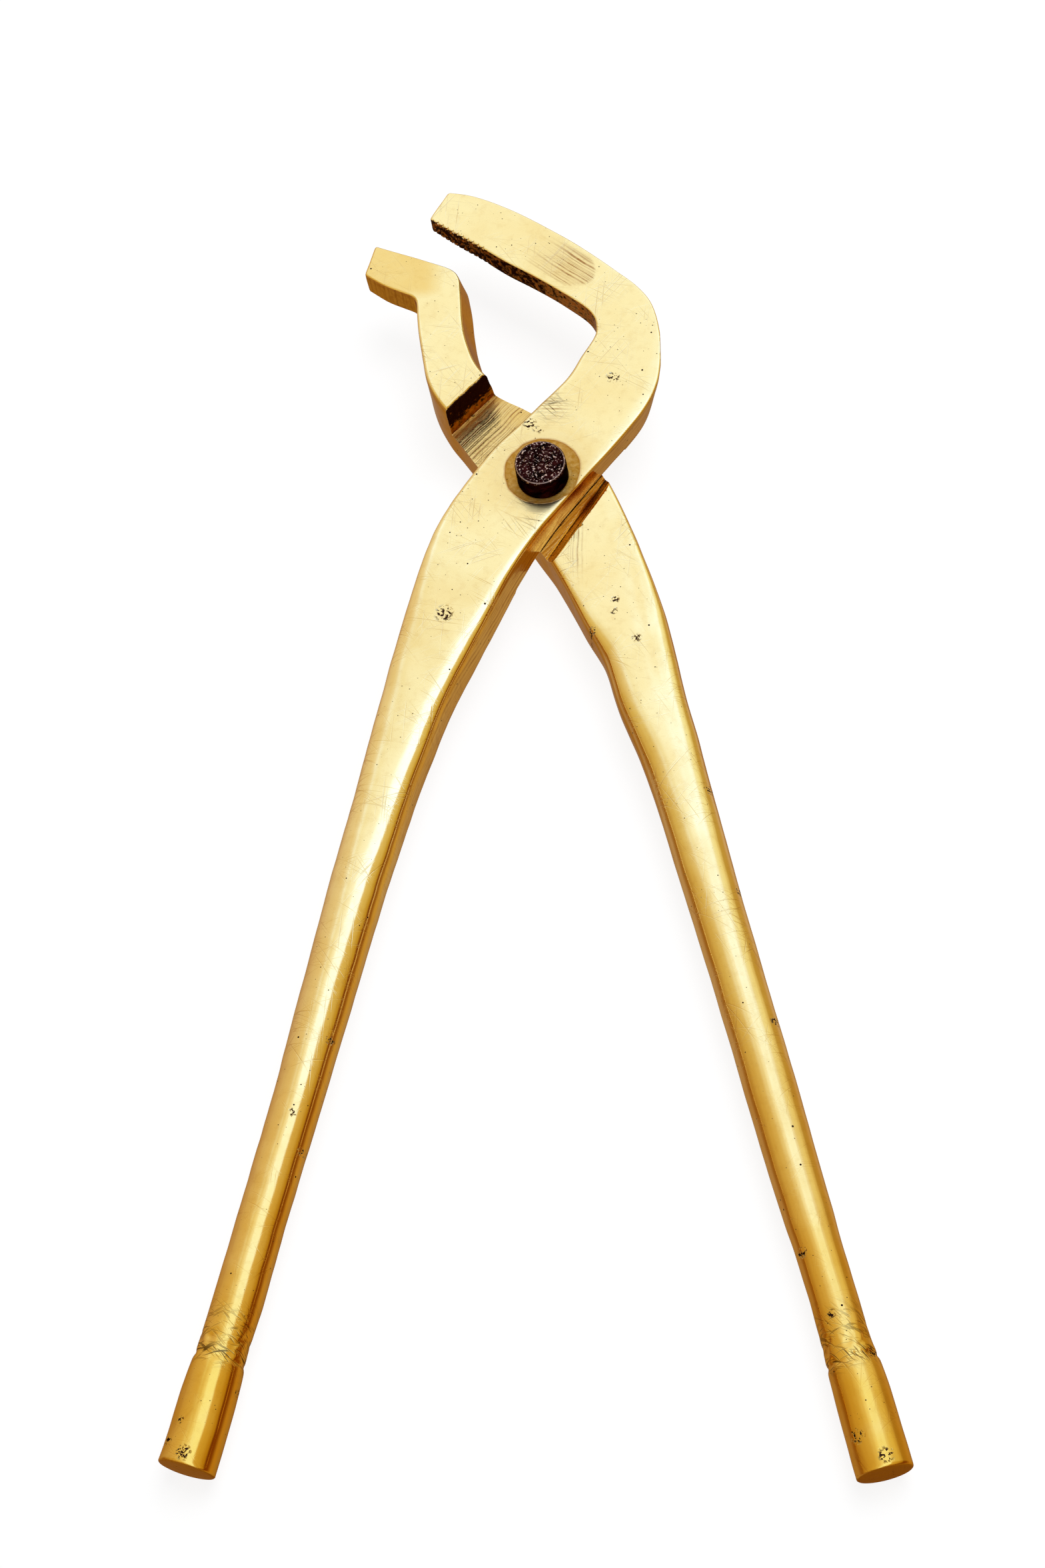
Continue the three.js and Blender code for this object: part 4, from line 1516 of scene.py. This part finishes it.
@dataclass
class Studio:
    """A pale floor, a soft overhead panel, the tent that the brass mirrors, and the camera."""

    camera_place: tuple[float, float, float] = (0.0666, -0.3696, 0.6015)
    camera_turn_deg: tuple[float, float, float] = (26.695, 6.864, 0.239)
    lens: float = 70.41
    sensor: float = 36.0
    floor_size: float = 30.0
    panel_place: tuple[float, float, float] = (0.35, 0.45, 1.5)
    panel_size: float = 1.1
    panel_watts: float = 18.0
    tent_gain: float = 2.8
    near_bands: tuple[SkyBand, ...] = (
        SkyBand(-180.0, (0.35, 0.20, 0.08)),
        SkyBand(-150.0, (0.50, 0.38, 0.28)),
        SkyBand(-125.0, (0.50, 0.34, 0.22)),
        SkyBand(-98.0, (0.34, 0.16, 0.03)),
        SkyBand(-82.0, (0.55, 0.36, 0.10)),
        SkyBand(-58.0, (0.70, 0.54, 0.20)),
        SkyBand(-37.0, (0.78, 0.66, 0.32)),
        SkyBand(-18.0, (0.92, 0.90, 0.70)),
        SkyBand(-6.0, (1.10, 1.26, 1.50)),
        SkyBand(4.0, (1.24, 1.66, 2.70)),
        SkyBand(28.0, (1.24, 1.66, 2.70)),
        SkyBand(36.0, (0.82, 0.70, 0.34)),
        SkyBand(52.0, (0.74, 0.60, 0.22)),
        SkyBand(74.0, (0.58, 0.38, 0.05)),
        SkyBand(84.0, (0.22, 0.06, 0.004)),
        SkyBand(97.0, (0.26, 0.08, 0.005)),
        SkyBand(121.0, (0.60, 0.37, 0.08)),
        SkyBand(152.0, (0.50, 0.36, 0.20)),
        SkyBand(180.0, (0.35, 0.20, 0.08)),
    )
    far_bands: tuple[SkyBand, ...] = (
        SkyBand(-180.0, (0.35, 0.20, 0.08)),
        SkyBand(-152.0, (0.50, 0.38, 0.26)),
        SkyBand(-128.0, (0.64, 0.52, 0.46)),
        SkyBand(-100.0, (0.76, 0.64, 0.50)),
        SkyBand(-72.0, (0.82, 0.74, 0.58)),
        SkyBand(-44.0, (0.90, 0.84, 0.70)),
        SkyBand(-32.0, (0.98, 1.00, 1.00)),
        SkyBand(-24.0, (1.12, 1.36, 1.85)),
        SkyBand(-16.0, (1.08, 1.22, 1.36)),
        SkyBand(-4.0, (1.07, 1.17, 1.24)),
        SkyBand(6.0, (1.08, 1.22, 1.38)),
        SkyBand(36.0, (1.14, 1.42, 1.95)),
        SkyBand(46.0, (1.02, 1.12, 1.00)),
        SkyBand(62.0, (0.98, 1.00, 0.70)),
        SkyBand(75.0, (0.82, 0.74, 0.40)),
        SkyBand(90.0, (0.58, 0.42, 0.11)),
        SkyBand(112.0, (0.58, 0.40, 0.12)),
        SkyBand(140.0, (0.68, 0.54, 0.44)),
        SkyBand(160.0, (0.50, 0.36, 0.24)),
        SkyBand(180.0, (0.35, 0.20, 0.08)),
    )

    def floor(self) -> bpy.types.Object:
        """A level sheet, just under the tool, that is nearly white by itself.

        Returns:
            The sheet.
        """
        half = self.floor_size / 2.0
        mesh = bpy.data.meshes.new("floor")
        corners = [(-half, -half, 0.0), (half, -half, 0.0), (half, half, 0.0), (-half, half, 0.0)]
        mesh.from_pydata(corners, [], [(0, 1, 2, 3)])
        floor = bpy.data.objects.new("floor", mesh)
        floor.visible_glossy = False
        bpy.context.scene.collection.objects.link(floor)
        material, graph, surface = new_material("white_paper")
        fibre = graph.spread(graph.noise(graph.place(), 900.0, 3.0), 0.3, 0.7, (0.20, 0.21))
        tone = graph.node("ShaderNodeCombineColor")
        for socket in tone.inputs[:3]:
            graph.feed(socket, fibre)
        graph.feed(surface.inputs["Base Color"], tone.outputs[0])
        surface.inputs["Roughness"].default_value = 0.9
        surface.inputs["Emission Color"].default_value = rgba((1.0, 1.0, 1.0))
        surface.inputs["Emission Strength"].default_value = 0.885
        mesh.materials.append(material)
        return floor

    def panel(self) -> None:
        """The soft panel that throws the faint shadow; the brass mirrors the tent instead."""
        light = bpy.data.lights.new("panel", "AREA")
        light.size = self.panel_size
        light.energy = self.panel_watts
        panel = bpy.data.objects.new("panel", light)
        panel.location = self.panel_place
        panel.rotation_euler = (-Vector(self.panel_place)).to_track_quat("-Z", "Y").to_euler()
        panel.visible_glossy = False
        bpy.context.scene.collection.objects.link(panel)

    def banded(self, graph: Graph, share: Socket, bands: Sequence[SkyBand]) -> Socket:
        """A colour ramp of the bands over the whole turn, eased between them.

        Args:
            graph: The world's graph.
            share: Roll as a share of the turn.
            bands: The stops.

        Returns:
            The light, divided by the tent's gain.
        """
        ramp = graph.node("ShaderNodeValToRGB")
        ramp.color_ramp.interpolation = "EASE"
        graph.feed(ramp.inputs[0], share)
        stops = ramp.color_ramp.elements
        for number, band in enumerate(bands):
            at = (band.degrees + 180.0) / 360.0
            stop = stops[number] if number < 2 else stops.new(at)
            stop.position = at
            stop.color = rgba(tuple(c / self.tent_gain for c in band.light))
        return ramp.outputs[0]

    def tent(self) -> None:
        """The surroundings: bands of light by roll angle, atan2 of x and z.

        The camera itself sees plain white behind the floor.
        """
        world = bpy.data.worlds.new("tent")
        world.use_nodes = True
        world.cycles_visibility.diffuse = False
        bpy.context.scene.world = world
        graph = Graph(world.node_tree)
        way = graph.node("ShaderNodeSeparateXYZ")
        graph.feed(way.inputs[0], graph.node("ShaderNodeTexCoord").outputs["Generated"])
        roll = graph.math("ARCTAN2", way.outputs[0], way.outputs[2])
        share = graph.spread(roll, -math.pi, math.pi)
        far = graph.spread(way.outputs[1], 0.18, 0.55)
        near_light = self.banded(graph, share, self.near_bands)
        light = graph.mix(far, near_light, self.banded(graph, share, self.far_bands))
        back = graph.node("ShaderNodeBackground")
        graph.feed(back.inputs["Color"], light)
        back.inputs["Strength"].default_value = self.tent_gain
        white = graph.node("ShaderNodeBackground")
        white.inputs["Color"].default_value = rgba((1.0, 1.0, 1.0))
        choice = graph.node("ShaderNodeMixShader")
        graph.feed(choice.inputs[0], graph.node("ShaderNodeLightPath").outputs["Is Camera Ray"])
        graph.feed(choice.inputs[1], back.outputs[0])
        graph.feed(choice.inputs[2], white.outputs[0])
        output = graph.node("ShaderNodeOutputWorld")
        graph.feed(output.inputs[0], choice.outputs[0])

    def camera(self) -> None:
        """The camera, looking down on the tool from its handle end."""
        data = bpy.data.cameras.new("camera")
        data.lens = self.lens
        data.sensor_width = self.sensor
        data.clip_start = 0.01
        data.clip_end = 100.0
        camera = bpy.data.objects.new("camera", data)
        camera.location = self.camera_place
        camera.rotation_euler = Euler([math.radians(d) for d in self.camera_turn_deg])
        bpy.context.scene.collection.objects.link(camera)
        bpy.context.scene.camera = camera

    def build(self) -> None:
        """Set up everything round the tool."""
        bpy.context.scene.view_settings.view_transform = "Standard"
        self.camera()
        self.floor()
        self.panel()
        self.tent()


def main() -> None:
    """Build the studio, the two levers and the rivet, and report each piece."""
    logging.basicConfig(level=logging.INFO, format="%(name)s: %(message)s")
    Studio().build()
    brass = PolishedBrass().material()
    iron = BurntIron().material()
    front = FrontLever(
        "front_lever_body", "front_lever", Body.FRONT, FRONT_FLATS, FRONT_ROUNDS,
        [Mark(*row) for row in FRONT_PITS], seed=11, waist=10,
    )
    rear = RearLever(
        "rear_lever_body", "rear_lever", Body.REAR, REAR_FLATS, REAR_ROUNDS,
        [Mark(*row) for row in REAR_PITS], seed=23, waist=11,
    )
    pieces = (
        (front, brass),
        (rear, brass),
        (PivotRivet(), iron),
    )
    for maker, finish in pieces:
        piece = maker.build(finish)
        log.info("%s: %d vertices, %d faces", piece.name, len(piece.data.vertices), len(piece.data.polygons))


if __name__ == "__main__":
    main()
